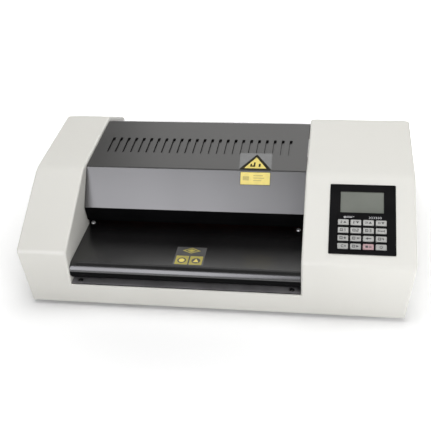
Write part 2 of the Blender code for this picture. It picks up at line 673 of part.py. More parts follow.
# the rocker turns about X; it is drawn level and stored tilted to its first stop
TILT = math.radians(9)
rocker_line = [(-3.0, -4.0), (-3.0, 4.0), (1.6, 8.1), (2.6, 8.1), (1.4, 0.0), (2.6, -8.1),
               (1.6, -8.1)]
rocker = outline_solid("power_rocker", [rocker_line], 10.4, Matrix.Identity(4))
rocker.matrix_world = (Matrix.Translation((SWITCH_X * MM, (Y0 + 367.2) * MM,
                                           (Z0 + SWITCH_Z) * MM))
                       @ Matrix.Rotation(TILT, 4, "X") @ SIDE)
keep(rocker, ROCKER)

# ---------------------------------------------------------------- power board
psu = keep(box("power_board", (158.0, 262.0), (236.0, 344.0), (9.0, 10.6)), BOARD)
for i, (px, py) in enumerate(((163, 241), (257, 241), (163, 339), (257, 339))):
    boolean(psu, tool(box(f"standoff_{i}", (px - 3, px + 3), (py - 3, py + 3), (2.4, 9.8))),
            "UNION")
for i, (x, y, z) in enumerate((((168, 212), (248, 290), (10, 46)),
                               ((222, 252), (250, 270), (10, 24)),
                               ((222, 240), (280, 330), (10, 30)),
                               ((172, 206), (304, 330), (10, 22)))):
    boolean(psu, tool(box(f"component_{i}", x, y, z)), "UNION")

for o in parts.objects:
    if o.type == "MESH":
        smooth(o)
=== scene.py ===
"""Looks of the desktop pouch laminator: casing, cover, table, panel and small parts as fine
meshes with procedural materials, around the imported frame. Shop dimensions are in mm: x from
the machine's centre, y back from the casing's front face, z up from its lower edge."""
import math

import bmesh
import bpy
from mathutils import Matrix, Vector


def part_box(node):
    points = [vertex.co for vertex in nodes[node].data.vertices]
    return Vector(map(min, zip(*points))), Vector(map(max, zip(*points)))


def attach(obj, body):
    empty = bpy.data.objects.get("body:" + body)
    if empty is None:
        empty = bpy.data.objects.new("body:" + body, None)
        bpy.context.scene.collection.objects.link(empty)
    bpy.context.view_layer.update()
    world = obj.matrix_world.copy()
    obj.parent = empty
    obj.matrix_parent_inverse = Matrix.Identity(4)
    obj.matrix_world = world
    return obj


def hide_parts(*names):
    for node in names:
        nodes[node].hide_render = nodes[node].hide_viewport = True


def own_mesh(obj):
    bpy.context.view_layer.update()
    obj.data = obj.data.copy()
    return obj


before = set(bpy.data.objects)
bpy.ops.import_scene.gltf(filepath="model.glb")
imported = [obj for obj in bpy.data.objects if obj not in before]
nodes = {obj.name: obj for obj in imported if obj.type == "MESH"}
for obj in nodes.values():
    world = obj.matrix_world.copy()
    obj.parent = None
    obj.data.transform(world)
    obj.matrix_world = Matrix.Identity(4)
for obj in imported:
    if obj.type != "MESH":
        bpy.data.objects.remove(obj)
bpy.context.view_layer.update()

MM = 0.001
CASE_LO, CASE_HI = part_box("outer_casing")
HALF_W = CASE_HI.x / MM                 # half the casing's width
Y0, Z0 = CASE_LO.y / MM, CASE_LO.z / MM  # shop zero in the row frame
COVER_LO, COVER_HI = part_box("top_cover")
TABLE_LO, TABLE_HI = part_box("feed_table")

CREASE, KNEE, RIDGE = (0.0, 87.0), (125.3, 153.6), (288.6, 159.9)
REAR_WALL = CASE_HI.y / MM - Y0
REAR_TOP = (REAR_WALL, 120.6)
TAPER, SKIN = 10.0, 2.0
EDGE_R = 3.2
BAY_L, BAY_R = -206.0, 126.0
TABLE_Z, LEDGE_Z, REAR_SILL = 64.0, 32.0, 45.0
ROLL_Y, ROLL_Z, ROLL_R = (160.0, 214.0), (48.0, 84.0), 17.7
FACE = (-203.0, 123.0)
PANEL_X, PANEL_S = 207.0, 71.4
PANEL_W, PANEL_H = 90.6, 109.6
KEY_W, KEY_H = 14.4, 8.4
KEY_PITCH_X, KEY_PITCH_Y, KEY_TOP_ROW = 17.1, 12.3, -6.4
SLOPE = math.atan2(KNEE[1] - CREASE[1], KNEE[0] - CREASE[0])


def P(x, y, z):
    return Vector((x * MM, (Y0 + y) * MM, (Z0 + z) * MM))


# ------------------------------------------------------------------ materials
def surface(name, colour, rough, metal=0.0, tone=0.03, tone_scale=9.0, rough_span=0.05,
            grain=0.15, grain_scale=900.0, depth=0.00012, coat=0.0, coat_rough=0.1,
            specular=0.5, stretch=(1, 1, 1), warm=0.0, scratch=0.0, sheen=0.0,
            anisotropic=0.0, dust=0.0):
    """Colour drifts by tone over broad patches, roughness drifts with it, and a fine grain
    gives the bump. stretch pulls the grain out, for a drawn or ground surface."""
    m = bpy.data.materials.new(name)
    m.use_nodes = True
    nt = m.node_tree
    b = nt.nodes["Principled BSDF"]
    b.inputs["Metallic"].default_value = metal
    b.inputs["Specular IOR Level"].default_value = specular
    b.inputs["Coat Weight"].default_value = coat
    b.inputs["Coat Roughness"].default_value = coat_rough
    b.inputs["Sheen Weight"].default_value = sheen
    b.inputs["Anisotropic"].default_value = anisotropic
    tc = nt.nodes.new("ShaderNodeTexCoord")
    broad = nt.nodes.new("ShaderNodeTexNoise")
    broad.inputs["Scale"].default_value = tone_scale
    broad.inputs["Detail"].default_value = 2.0
    broad.inputs["Roughness"].default_value = 0.5
    nt.links.new(tc.outputs["Object"], broad.inputs["Vector"])
    ramp = nt.nodes.new("ShaderNodeValToRGB")
    lo = [max(c * (1 - tone) - warm * w, 0) for c, w in zip(colour, (-0.2, 0.2, 1.0))]
    hi = [min(c * (1 + tone), 1) for c in colour]
    ramp.color_ramp.interpolation = "EASE"
    ramp.color_ramp.elements[0].position = 0.25
    ramp.color_ramp.elements[0].color = (*lo, 1)
    ramp.color_ramp.elements[1].position = 0.75
    ramp.color_ramp.elements[1].color = (*hi, 1)
    nt.links.new(broad.outputs["Fac"], ramp.inputs["Fac"])
    colour_out = ramp.outputs["Color"]
    mp = nt.nodes.new("ShaderNodeMapping")
    mp.inputs["Scale"].default_value = stretch
    nt.links.new(tc.outputs["Object"], mp.inputs["Vector"])
    fine = nt.nodes.new("ShaderNodeTexNoise")
    fine.inputs["Scale"].default_value = grain_scale
    fine.inputs["Detail"].default_value = 2.0
    nt.links.new(mp.outputs["Vector"], fine.inputs["Vector"])
    if dust:
        # paler specks where the fine grain peaks, such as lint or wear of a matt surface
        speck = nt.nodes.new("ShaderNodeValToRGB")
        speck.color_ramp.elements[0].position = 0.62
        speck.color_ramp.elements[0].color = (0, 0, 0, 1)
        speck.color_ramp.elements[1].position = 0.8
        speck.color_ramp.elements[1].color = (dust, dust, dust, 1)
        nt.links.new(fine.outputs["Fac"], speck.inputs["Fac"])
        mix = nt.nodes.new("ShaderNodeMix")
        mix.data_type = "RGBA"
        mix.blend_type = "ADD"
        mix.inputs[0].default_value = 1.0
        nt.links.new(colour_out, mix.inputs[6])
        nt.links.new(speck.outputs["Color"], mix.inputs[7])
        colour_out = mix.outputs[2]
    nt.links.new(colour_out, b.inputs["Base Color"])
    span = nt.nodes.new("ShaderNodeMapRange")
    span.interpolation_type = "SMOOTHSTEP"
    span.inputs["From Min"].default_value = 0.25
    span.inputs["From Max"].default_value = 0.75
    span.inputs["To Min"].default_value = max(rough - rough_span, 0.02)
    span.inputs["To Max"].default_value = min(rough + rough_span, 1.0)
    nt.links.new(broad.outputs["Fac"], span.inputs["Value"])
    nt.links.new(span.outputs["Result"], b.inputs["Roughness"])
    bump = nt.nodes.new("ShaderNodeBump")
    bump.inputs["Strength"].default_value = grain
    bump.inputs["Distance"].default_value = depth
    height = fine.outputs["Fac"]
    if scratch:
        lines = nt.nodes.new("ShaderNodeTexNoise")
        lines.inputs["Scale"].default_value = 60.0
        lines.inputs["Detail"].default_value = 8.0
        mp2 = nt.nodes.new("ShaderNodeMapping")
        mp2.inputs["Scale"].default_value = (1.0, 30.0, 1.0)
        nt.links.new(tc.outputs["Object"], mp2.inputs["Vector"])
        nt.links.new(mp2.outputs["Vector"], lines.inputs["Vector"])
        add = nt.nodes.new("ShaderNodeMath")
        add.operation = "MULTIPLY_ADD"
        add.inputs[1].default_value = scratch
        nt.links.new(lines.outputs["Fac"], add.inputs[0])
        nt.links.new(fine.outputs["Fac"], add.inputs[2])
        height = add.outputs[0]
    nt.links.new(height, bump.inputs["Height"])
    nt.links.new(bump.outputs["Normal"], b.inputs["Normal"])
    return m


CASING = surface("casing_powder_coat", (0.765, 0.757, 0.715), 0.42, tone=0.012, tone_scale=5,
                 rough_span=0.05, grain=0.35, grain_scale=1100, depth=0.00008, warm=0.006)
COVER = surface("cover_black_paint", (0.030, 0.0292, 0.0284), 0.30, tone=0.10, tone_scale=11,
                rough_span=0.02, grain=0.03, grain_scale=700, depth=0.00003, specular=1.0)
# a matt, far darker copy of the cover's paint, for its underside, guard and gutters: painted shade
GUARD = surface("cover_underside_painted_shade", (0.0028, 0.0028, 0.0032), 0.6, tone=0.2, tone_scale=20,
                grain=0.3, grain_scale=1500, depth=0.00005, specular=0.05)
TABLE = surface("table_black_paint", (0.0050, 0.0048, 0.0050), 0.24, tone=0.14, tone_scale=9,
                rough_span=0.03, grain=0.05, grain_scale=900, depth=0.00003, specular=0.95)
# a darker, near mirrorless copy of the table's paint, for the nose's lower half and the sheet below it: painted
# shade
TABLE_LOW = surface("table_nose_painted_shade", (0.0032, 0.0032, 0.0036), 0.5, tone=0.2, tone_scale=20,
                    grain=0.3, grain_scale=1500, depth=0.00005, specular=0.035)
# the flange of the table's black sheet is painted mid grey: painted light on the black paint
FLANGE = surface("flange_painted_light", (0.27, 0.262, 0.275), 0.5, tone=0.16, tone_scale=45,
                 rough_span=0.08, grain=0.4, grain_scale=900, depth=0.00008, specular=0.4)
INSIDE = surface("guide_black_paint", (0.03, 0.03, 0.03), 0.45, tone=0.1, grain=0.3)
ZINC = surface("zinc_plate", (0.56, 0.57, 0.59), 0.36, metal=1.0, tone=0.10, tone_scale=60,
               rough_span=0.07, grain=0.25, grain_scale=500, depth=0.0001, warm=0.04)
SCREW = surface("screw_bright_plate", (0.86, 0.86, 0.85), 0.42, metal=0.55, tone=0.06,
                tone_scale=300, grain=0.2, grain_scale=2500, depth=0.00003)
SCREW_BLACK = surface("screw_black_oxide", (0.035, 0.034, 0.034), 0.36, metal=0.55, tone=0.2,
                      tone_scale=300, grain=0.3, grain_scale=2500, depth=0.00003)
RUBBER = surface("foot_rubber", (0.022, 0.022, 0.022), 0.82, tone=0.2, tone_scale=90,
                 grain=0.5, grain_scale=1500, depth=0.0001, dust=0.02)
SILICONE = surface("roller_silicone", (0.36, 0.075, 0.045), 0.55, tone=0.09, tone_scale=30,
                   grain=0.35, grain_scale=1600, depth=0.00006, sheen=0.1, dust=0.05)
SHAFT = surface("ground_steel_shaft", (0.62, 0.62, 0.63), 0.22, metal=1.0, tone=0.05,
                tone_scale=80, grain=0.4, grain_scale=260, depth=0.00004, stretch=(12, 1, 1))
NYLON = surface("natural_nylon", (0.74, 0.71, 0.63), 0.46, tone=0.05, tone_scale=60,
                grain=0.2, grain_scale=1200, depth=0.00005, warm=0.02)
POLYMER = surface("bush_polymer", (0.20, 0.125, 0.065), 0.5, tone=0.14, tone_scale=120,
                  grain=0.3, grain_scale=1800, depth=0.00005)
# the heating shoes' aluminium is painted dull and dark: painted shade for the inside of the casing, seen through
# the vent holes
ALLOY = surface("shoe_aluminium", (0.33, 0.325, 0.32), 0.5, metal=1.0, tone=0.12,
                tone_scale=40, grain=0.4, grain_scale=300, depth=0.00006, stretch=(0.06, 1, 1),
                anisotropic=0.4)
SPRING = surface("spring_wire", (0.50, 0.50, 0.51), 0.26, metal=1.0, tone=0.08,
                 tone_scale=200, grain=0.3, grain_scale=900, depth=0.00003)
BEZEL = surface("bezel_black", (0.0062, 0.0060, 0.0066), 0.34, tone=0.18, tone_scale=25,
                rough_span=0.05, grain=0.22, grain_scale=2200, depth=0.00003, specular=0.10)
PRINT = surface("panel_print", (0.42, 0.42, 0.43), 0.5, tone=0.08, tone_scale=300,
                grain=0.1, grain_scale=3000, depth=0.00001)
# each lower row of keys gets a darker copy of the same grey: painted shade
KEYCAPS = [surface(f"keycap_grey_row_shaded_{i}", (0.49 * g, 0.49 * g, 0.475 * g), 0.5, tone=0.035,
                   tone_scale=70, grain=0.3, grain_scale=2600, depth=0.00003)
           for i, g in enumerate((0.92, 0.90, 0.84, 0.78))]
KEYCAP_RED = surface("keycap_red", (0.49, 0.32, 0.335), 0.5, tone=0.05, tone_scale=70,
                     grain=0.3, grain_scale=2600, depth=0.00003)
LEGEND = surface("legend_ink", (0.055, 0.055, 0.055), 0.55, tone=0.15, tone_scale=400,
                 grain=0.1, grain_scale=3000, depth=0.00001)
MOTOR = surface("motor_case", (0.33, 0.34, 0.36), 0.35, metal=0.9, tone=0.08, tone_scale=50,
                grain=0.3, grain_scale=700, depth=0.00006)
SOCKET = surface("socket_plastic", (0.021, 0.021, 0.022), 0.42, tone=0.12, tone_scale=80,
                 grain=0.35, grain_scale=1300, depth=0.00006)
ROCKER = surface("rocker_plastic", (0.018, 0.018, 0.019), 0.22, tone=0.12, tone_scale=80,
                 grain=0.12, grain_scale=1800, depth=0.00003)
PIN = surface("pin_brass", (0.66, 0.58, 0.42), 0.28, metal=1.0, tone=0.06, tone_scale=300,
              grain=0.2, grain_scale=2000, depth=0.00002)
BOARD = surface("circuit_board", (0.02, 0.16, 0.06), 0.38, tone=0.3, tone_scale=140,
                grain=0.3, grain_scale=500, depth=0.00005, coat=0.3)
# the film is drawn opaque and a lighter grey than the paint under it: painted sheen for a clear film;
# label_film_dim is a darker copy of it: painted shade
FILM = surface("label_film", (0.115, 0.117, 0.120), 0.16, tone=0.10, tone_scale=60,
               grain=0.1, grain_scale=400, depth=0.00002, coat=0.6, coat_rough=0.08)
FILM_DIM = surface("label_film_dim", (0.085, 0.084, 0.083), 0.22, tone=0.12, tone_scale=60,
                   grain=0.1, grain_scale=400, depth=0.00002, coat=0.4, coat_rough=0.1)
YELLOW = surface("label_yellow", (0.80, 0.66, 0.16), 0.35, tone=0.06, tone_scale=120,
                 grain=0.1, grain_scale=900, depth=0.00001)
# a darker copy of the label yellow, for the label on the flat table: painted shade
YELLOW_DIM = surface("label_yellow_dim", (0.42, 0.36, 0.085), 0.35, tone=0.10, tone_scale=120,
                     grain=0.1, grain_scale=900, depth=0.00001)
LABEL_INK = surface("label_ink", (0.022, 0.020, 0.012), 0.5, tone=0.1, tone_scale=200,
                    grain=0.1, grain_scale=900, depth=0.00001, specular=0.08)
LABEL_FAINT = surface("label_faint_ink", (0.52, 0.42, 0.10), 0.4, tone=0.1, tone_scale=200,
                      grain=0.1, grain_scale=900, depth=0.00001)


def display_material():
    """A switched-off LCD: grey-green, with the dot grid just visible and a soft drift."""
    m = surface("display_lcd", (0.192, 0.204, 0.180), 0.20, tone=0.05, tone_scale=22,
                rough_span=0.03, grain=0.08, grain_scale=700, depth=0.00002, coat=0.35,
                coat_rough=0.06)
    nt = m.node_tree
    b = nt.nodes["Principled BSDF"]
    src = b.inputs["Base Color"].links[0].from_socket
    tc = next(n for n in nt.nodes if n.type == "TEX_COORD")
    grid = nt.nodes.new("ShaderNodeTexBrick")
    grid.offset = 0.0
    grid.inputs["Scale"].default_value = 1.0
    grid.inputs["Brick Width"].default_value = 0.00048
    grid.inputs["Row Height"].default_value = 0.00048
    grid.inputs["Mortar Size"].default_value = 0.00004
    grid.inputs["Color1"].default_value = (1, 1, 1, 1)
    grid.inputs["Color2"].default_value = (0.985, 0.985, 0.985, 1)
    grid.inputs["Mortar"].default_value = (0.93, 0.94, 0.93, 1)
    nt.links.new(tc.outputs["Object"], grid.inputs["Vector"])
    mix = nt.nodes.new("ShaderNodeMix")
    mix.data_type = "RGBA"
    mix.blend_type = "MULTIPLY"
    mix.inputs[0].default_value = 1.0
    nt.links.new(src, mix.inputs[6])
    nt.links.new(grid.outputs["Color"], mix.inputs[7])
    nt.links.new(mix.outputs[2], b.inputs["Base Color"])
    return m


DISPLAY = display_material()


# ------------------------------------------------------------------ mesh tools
def link(name, mesh, matrix=None):
    o = bpy.data.objects.new(name, mesh)
    bpy.context.scene.collection.objects.link(o)
    if matrix is not None:
        o.matrix_world = matrix
    return o


def from_bm(name, bm, matrix=None):
    mesh = bpy.data.meshes.new(name)
    bmesh.ops.recalc_face_normals(bm, faces=bm.faces)
    bm.to_mesh(mesh)
    bm.free()
    return link(name, mesh, matrix)


def bake(o):
    """Makes o's modifiers part of its mesh."""
    bpy.context.view_layer.update()
    mesh = bpy.data.meshes.new_from_object(
        o.evaluated_get(bpy.context.evaluated_depsgraph_get()))
    o.modifiers.clear()
    o.data = mesh
    return o


def cut(o, *others, how="DIFFERENCE"):
    for c in others:
        m = o.modifiers.new("b", "BOOLEAN")
        m.operation, m.object, m.solver = how, c, "EXACT"
        bake(o)
        bpy.data.objects.remove(c, do_unlink=True)
    return o


def join(name, objs):
    """One object of separate closed shells. Materials are kept."""
    bm = bmesh.new()
    mats, target = [], None
    for o in objs:
        bake(o)
        part = bmesh.new()
        part.from_mesh(o.data)
        part.transform(o.matrix_world)
        base = []
        for m in o.data.materials:
            if m not in mats:
                mats.append(m)
            base.append(mats.index(m))
        for f in part.faces:
            f.material_index = base[f.material_index] if base else 0
        tmp = bpy.data.meshes.new("tmp")
        part.to_mesh(tmp)
        part.free()
        bm.from_mesh(tmp)
        bpy.data.meshes.remove(tmp)
        bpy.data.objects.remove(o, do_unlink=True)
    mesh = bpy.data.meshes.new(name)
    bm.to_mesh(mesh)
    bm.free()
    for m in mats:
        mesh.materials.append(m)
    return link(name, mesh)


def shade(o, angle=32, weighted=False):
    o.data.shade_smooth()
    o.data.set_sharp_from_angle(angle=math.radians(angle))
    if weighted:
        w = o.modifiers.new("normals", "WEIGHTED_NORMAL")
        w.keep_sharp = True
        w.weight = 60
    return o


def rounded(o, width, seg=2, angle=32):
    """Weld, Bevel and weighted normals, left on the object."""
    weld = o.modifiers.new("weld", "WELD")
    weld.merge_threshold = 2e-6
    b = o.modifiers.new("round", "BEVEL")
    b.width = width * MM
    b.segments = seg
    b.limit_method = "ANGLE"
    b.angle_limit = math.radians(angle)
    b.use_clamp_overlap = True
    shade(o, angle=40, weighted=True)
    return o


def paint(o, *mats):
    o.data.materials.clear()
    for m in mats:
        o.data.materials.append(m)
    return o


def piece(o, body, slot, *replaced):
    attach(o, body)
    if replaced:
        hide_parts(*replaced)
    return o


def fillet(points, radii, seg=8, closed=True):
    out, n = [], len(points)
    for i, p in enumerate(points):
        r = radii[i] if isinstance(radii, (list, tuple)) else radii
        if r <= 0 or (not closed and i in (0, n - 1)):
            out.append(tuple(p))
            continue
        p = Vector(p)
        a, b = Vector(points[i - 1]) - p, Vector(points[(i + 1) % n]) - p
        half = a.angle(b) / 2
        d = r / math.tan(half)
        a.normalize()
        b.normalize()
        centre = p + (a + b).normalized() * (r / math.sin(half))
        s, e = p + a * d - centre, p + b * d - centre
        turn = s.angle_signed(e)
        for k in range(seg + 1):
            v = s.copy()
            v.rotate(Matrix.Rotation(-turn * k / seg, 2))
            q = centre + v
            out.append((q.x, q.y))
    return out


def offset_line(line, d):
    """The open line moved by d to the right of its direction."""
    pts = [Vector(p) for p in line]
    segs = []
    for a, b in zip(pts, pts[1:]):
        t = (b - a).normalized()
        n = Vector((t.y, -t.x)) * d
        segs.append((a + n, b + n, t))
    out = [tuple(segs[0][0])]
    for (a, b, t), (c, e, u) in zip(segs, segs[1:]):
        cross = t.x * u.y - t.y * u.x
        if abs(cross) < 1e-6:
            out.append(tuple(b))
        else:
            k = ((c - a).x * u.y - (c - a).y * u.x) / cross
            out.append(tuple(a + t * k))
    out.append(tuple(segs[-1][1]))
    return out


def section(name, loop, x0, x1):
    """A closed loop of shop (y, z), extruded from x0 to x1."""
    bm = bmesh.new()
    a = [bm.verts.new(P(x0, *p)) for p in loop]
    f = bm.faces.new(a)
    made = bmesh.ops.extrude_face_region(bm, geom=[f])["geom"]
    bmesh.ops.translate(bm, vec=((x1 - x0) * MM, 0, 0),
                        verts=[g for g in made if isinstance(g, bmesh.types.BMVert)])
    return from_bm(name, bm)


def slab(name, loop, low, high, matrix=Matrix.Identity(4)):
    """A closed loop of (u, v) mm, from height low to high, in the plane of matrix."""
    bm = bmesh.new()
    a = [bm.verts.new((p[0] * MM, p[1] * MM, low * MM)) for p in loop]
    f = bm.faces.new(a)
    made = bmesh.ops.extrude_face_region(bm, geom=[f])["geom"]
    bmesh.ops.translate(bm, vec=(0, 0, (high - low) * MM),
                        verts=[g for g in made if isinstance(g, bmesh.types.BMVert)])
    return from_bm(name, bm, matrix)


def box(name, x, y, z):
    return section(name, [(y[0], z[0]), (y[1], z[0]), (y[1], z[1]), (y[0], z[1])], *x)


def rect(w, h, cx=0.0, cy=0.0, r=0.0, seg=5):
    p = [(cx - w / 2, cy - h / 2), (cx + w / 2, cy - h / 2), (cx + w / 2, cy + h / 2),
         (cx - w / 2, cy + h / 2)]
    return fillet(p, r, seg) if r else p


def ring_points(cx, cy, r, n):
    return [(cx + r * math.cos(2 * math.pi * k / n), cy + r * math.sin(2 * math.pi * k / n))
            for k in range(n)]


def turned(name, profile, steps, origin, axis="Z"):
    """A closed solid of revolution from (radius, height) points in mm, axis to axis."""
    bm = bmesh.new()
    rings = []
    for r, h in profile:
        if r <= 1e-9:
            rings.append([bm.verts.new((0, 0, h * MM))])
        else:
            rings.append([bm.verts.new((r * MM * math.cos(2 * math.pi * k / steps),
                                        r * MM * math.sin(2 * math.pi * k / steps), h * MM))
                          for k in range(steps)])
    for a, b in zip(rings, rings[1:]):
        for k in range(steps):
            j = (k + 1) % steps
            if len(a) == 1 and len(b) > 1:
                bm.faces.new((a[0], b[k], b[j]))
            elif len(b) == 1 and len(a) > 1:
                bm.faces.new((a[k], a[j], b[0]))
            elif len(a) > 1:
                bm.faces.new((a[k], a[j], b[j], b[k]))
    m = Matrix.Translation(origin)
    if axis == "X":
        m = m @ Matrix.Rotation(math.pi / 2, 4, "Y")
    elif axis == "Y":
        m = m @ Matrix.Rotation(-math.pi / 2, 4, "X")
    return from_bm(name, bm, m)


# ------------------------------------------------------------------ casing
outer_line = fillet([(0, 0), CREASE, KNEE, RIDGE, REAR_TOP, (REAR_WALL, 0)],
                    [0, 9, 50, 14, 8, 0], seg=12)


def lean(o):
    bm = bmesh.new()
    bm.from_mesh(o.data)
    h = (Z0 + CREASE[1]) * MM
    bmesh.ops.bisect_plane(bm, geom=bm.verts[:] + bm.edges[:] + bm.faces[:],
                           plane_co=(0, 0, h), plane_no=(0, 0, 1), dist=1e-7)
    for v in bm.verts:
        if v.co.z < h - 1e-6 and abs(v.co.x) > 0.24:
            v.co.x -= math.copysign(TAPER * MM * (h - v.co.z) / (CREASE[1] * MM), v.co.x)
    bm.to_mesh(o.data)
    bm.free()
    return o


shell = section("casing_shell", outer_line, -HALF_W, HALF_W)
bay = section("cut_bay", [(-10, LEDGE_Z), (18, LEDGE_Z), (18, -8), (REAR_WALL - SKIN, -8),
                          (REAR_WALL - SKIN, REAR_SILL), (390, REAR_SILL), (390, 220),
                          (-10, 220)], BAY_L, BAY_R)
cut(shell, bay)
bm = bmesh.new()
bm.from_mesh(shell.data)
bmesh.ops.dissolve_limit(bm, angle_limit=math.radians(0.05), verts=bm.verts, edges=bm.edges)
low = (Z0 + 0.5) * MM
soft = []
for e in bm.edges:
    if len(e.link_faces) != 2 or not e.is_convex:
        continue
    n1, n2 = e.link_faces[0].normal, e.link_faces[1].normal
    if n1.angle(n2) < math.radians(25) or all(v.co.z < low for v in e.verts):
        continue
    end = (abs(n1.x) > 0.8) != (abs(n2.x) > 0.8)
    mid = (e.verts[0].co + e.verts[1].co) / 2
    shop_y, shop_z = mid.y / MM - Y0, mid.z / MM - Z0
    ledge = abs(shop_y) < 0.1 and abs(shop_z - LEDGE_Z) < 0.1
    if ledge or (end and not (shop_z < LEDGE_Z + 0.05 and BAY_L - 1 < mid.x / MM < BAY_R + 1)):
        soft.append(e)
bmesh.ops.bevel(bm, geom=soft, offset=EDGE_R * MM, offset_type="OFFSET", segments=5,
                profile=0.5, affect="EDGES", clamp_overlap=False, miter_outer="SHARP")
bmesh.ops.remove_doubles(bm, verts=bm.verts, dist=2e-6)
bm.to_mesh(shell.data)
bm.free()
lean(shell)


def inset_profile(d, floor):
    pts = [Vector(CREASE), Vector(KNEE), Vector(RIDGE), Vector(REAR_TOP)]
    line = [Vector((0, 0))] + pts + [Vector((REAR_WALL, 0))]
    inner = offset_line([tuple(p) for p in line], d)
    return [(d, floor)] + inner[1:-1] + [(REAR_WALL - d, floor)]


inner = fillet(inset_profile(SKIN, -8), [0, 7, 48, 12, 6, 0], seg=8)
cut(shell,
    lean(section("cut_left", inner, -HALF_W + SKIN, BAY_L - SKIN)),
    lean(section("cut_right", inner, BAY_R + SKIN, HALF_W - SKIN)),
    section("cut_under", [(SKIN, -9), (SKIN, LEDGE_Z - SKIN), (17.0, LEDGE_Z - SKIN),
                          (17.0, 56), (112, 56), (112, 100), (135, 130), (141, 139),
                          (284, 146), (352, 112), (352, 56), (REAR_WALL - SKIN, 56),
                          (REAR_WALL - SKIN, -9)], BAY_L - 4, BAY_R + 4))


def panel_place(u, v, n=0.0):
    s = PANEL_S + v
    y = CREASE[0] + s * math.cos(SLOPE) - n * math.sin(SLOPE)
    z = CREASE[1] + s * math.sin(SLOPE) + n * math.cos(SLOPE)
    return Matrix.Translation(P(PANEL_X + u, y, z)) @ Matrix.Rotation(SLOPE, 4, "X")


INLET_X, INLET_Z, SWITCH_X, SWITCH_Z = 218.0, 48.0, 172.0, 48.0
FLANGE_SCREWS, TABLE_SCREWS = (-193.5, 113.5), (-199.5, 116.5)
cut(shell, slab("cut_panel", rect(84, 103, r=2), -6, 6, panel_place(0, 0)),
    box("cut_inlet", (INLET_X - 14.5, INLET_X + 14.5), (360, 380), (INLET_Z - 11.5, INLET_Z + 11.5)),
    box("cut_switch", (SWITCH_X - 7.2, SWITCH_X + 7.2), (360, 380), (SWITCH_Z - 10.7, SWITCH_Z + 10.7)),
    *[turned(f"cut_ledge_{i}", [(0, 8), (2.3, 8), (2.3, -8), (0, -8)], 24, P(sx, 8, 31))
      for i, sx in enumerate(FLANGE_SCREWS)])
paint(shell, CASING)
shade(shell, 28, weighted=True)
piece(shell, "root", "casing_paint", "outer_casing")

# ------------------------------------------------------------------ cover
LIP, CREST, COVER_RIDGE = (101.4, 100.0), (139.6, 150.0), (280.0, 156.1)
cover_line = fillet([(107, 74), LIP, CREST, COVER_RIDGE, (359.5, 117.5), (364, 86)],
                    [0, 1.6, 3.2, 7, 6, 0], seg=8, closed=False)
inside = offset_line(cover_line, 1.5)
cover = section("cover_plate", cover_line + inside[::-1], COVER_LO.x / MM, COVER_HI.x / MM)

TOP_TILT = math.atan2(COVER_RIDGE[1] - CREST[1], COVER_RIDGE[0] - CREST[0])
LOUVRE_Y, LOUVRE_HALF = 204.0, 21.0
louvre_z = CREST[1] + (LOUVRE_Y - CREST[0]) * math.tan(TOP_TILT)
W_LOUVRE = 4.6
BLADE_N = 3.1  # depth of the louvre's blade
slots, holes, flaps = bmesh.new(), bmesh.new(), bmesh.new()


def add_prism(bm, loop, s0, s1, matrix):
    """loop is (x, n) across the slot, run along the slot from s0 to s1."""
    a = [bm.verts.new(matrix @ Vector((p[0] * MM, s0 * MM, p[1] * MM))) for p in loop]
    f = bm.faces.new(a)
    made = bmesh.ops.extrude_face_region(bm, geom=[f])["geom"]
    vec = matrix.to_3x3() @ Vector((0, (s1 - s0) * MM, 0))
    bmesh.ops.translate(bm, vec=vec, verts=[g for g in made if isinstance(g, bmesh.types.BMVert)])


for k in range(24):
    xk = -183.0 + 12.25 * k
    at = Matrix.Translation(P(xk, LOUVRE_Y, louvre_z)) @ Matrix.Rotation(TOP_TILT, 4, "X")
    h = W_LOUVRE / 2
    add_prism(slots, [(-h, -4), (h, -4), (h, 3), (-h, 3)], -LOUVRE_HALF, LOUVRE_HALF, at)
    # a sunken blade joined along the slot's right edge, with a gutter under its free edge
    # and a closed rear end
    add_prism(flaps, [(h + 0.4, -0.05), (h - 0.25, -0.05), (h - 0.25, -BLADE_N),
                      (-h + 0.15, -BLADE_N), (-h + 0.15, -5.2), (-h - 1.9, -5.2),
                      (-h - 1.9, -6.0), (-h + 1.0, -6.0), (-h + 1.0, -BLADE_N - 0.9),
                      (h + 0.4, -BLADE_N - 0.9)], -LOUVRE_HALF + 0.15, LOUVRE_HALF - 1.2, at)
    add_prism(flaps, [(-h - 1.2, -2.6), (-h - 1.9, -2.6), (-h - 1.9, -5.9), (-h - 1.2, -5.9)],
              -LOUVRE_HALF + 0.15, LOUVRE_HALF + 3.0, at)
    add_prism(flaps, [(h + 0.4, -1.35), (-h - 1.7, -1.35), (-h - 1.7, -6.1), (h + 0.4, -6.1)],
              LOUVRE_HALF + 2.4, LOUVRE_HALF + 3.2, at)
    add_prism(flaps, [(h + 0.4, -5.25), (-h - 1.65, -5.25), (-h - 1.65, -6.05), (h + 0.4, -6.05)],
              LOUVRE_HALF - 1.6, LOUVRE_HALF + 2.9, at)
    n = 20
    ring = [holes.verts.new(at @ Vector((2.3 * MM * math.cos(2 * math.pi * i / n),
                                         LOUVRE_HALF * MM + 2.3 * MM * math.sin(2 * math.pi * i / n),
                                         -4 * MM))) for i in range(n)]
    f = holes.faces.new(ring)
    made = bmesh.ops.extrude_face_region(holes, geom=[f])["geom"]
    bmesh.ops.translate(holes, vec=at.to_3x3() @ Vector((0, 0, 7 * MM)),
                        verts=[g for g in made if isinstance(g, bmesh.types.BMVert)])
slot_cut, hole_cut = from_bm("cut_slots", slots), from_bm("cut_holes", holes)
flap_add = from_bm("louvre_flaps", flaps)
cut(cover, slot_cut, hole_cut)
cut(cover, flap_add, how="UNION")
paint(cover, COVER, GUARD)
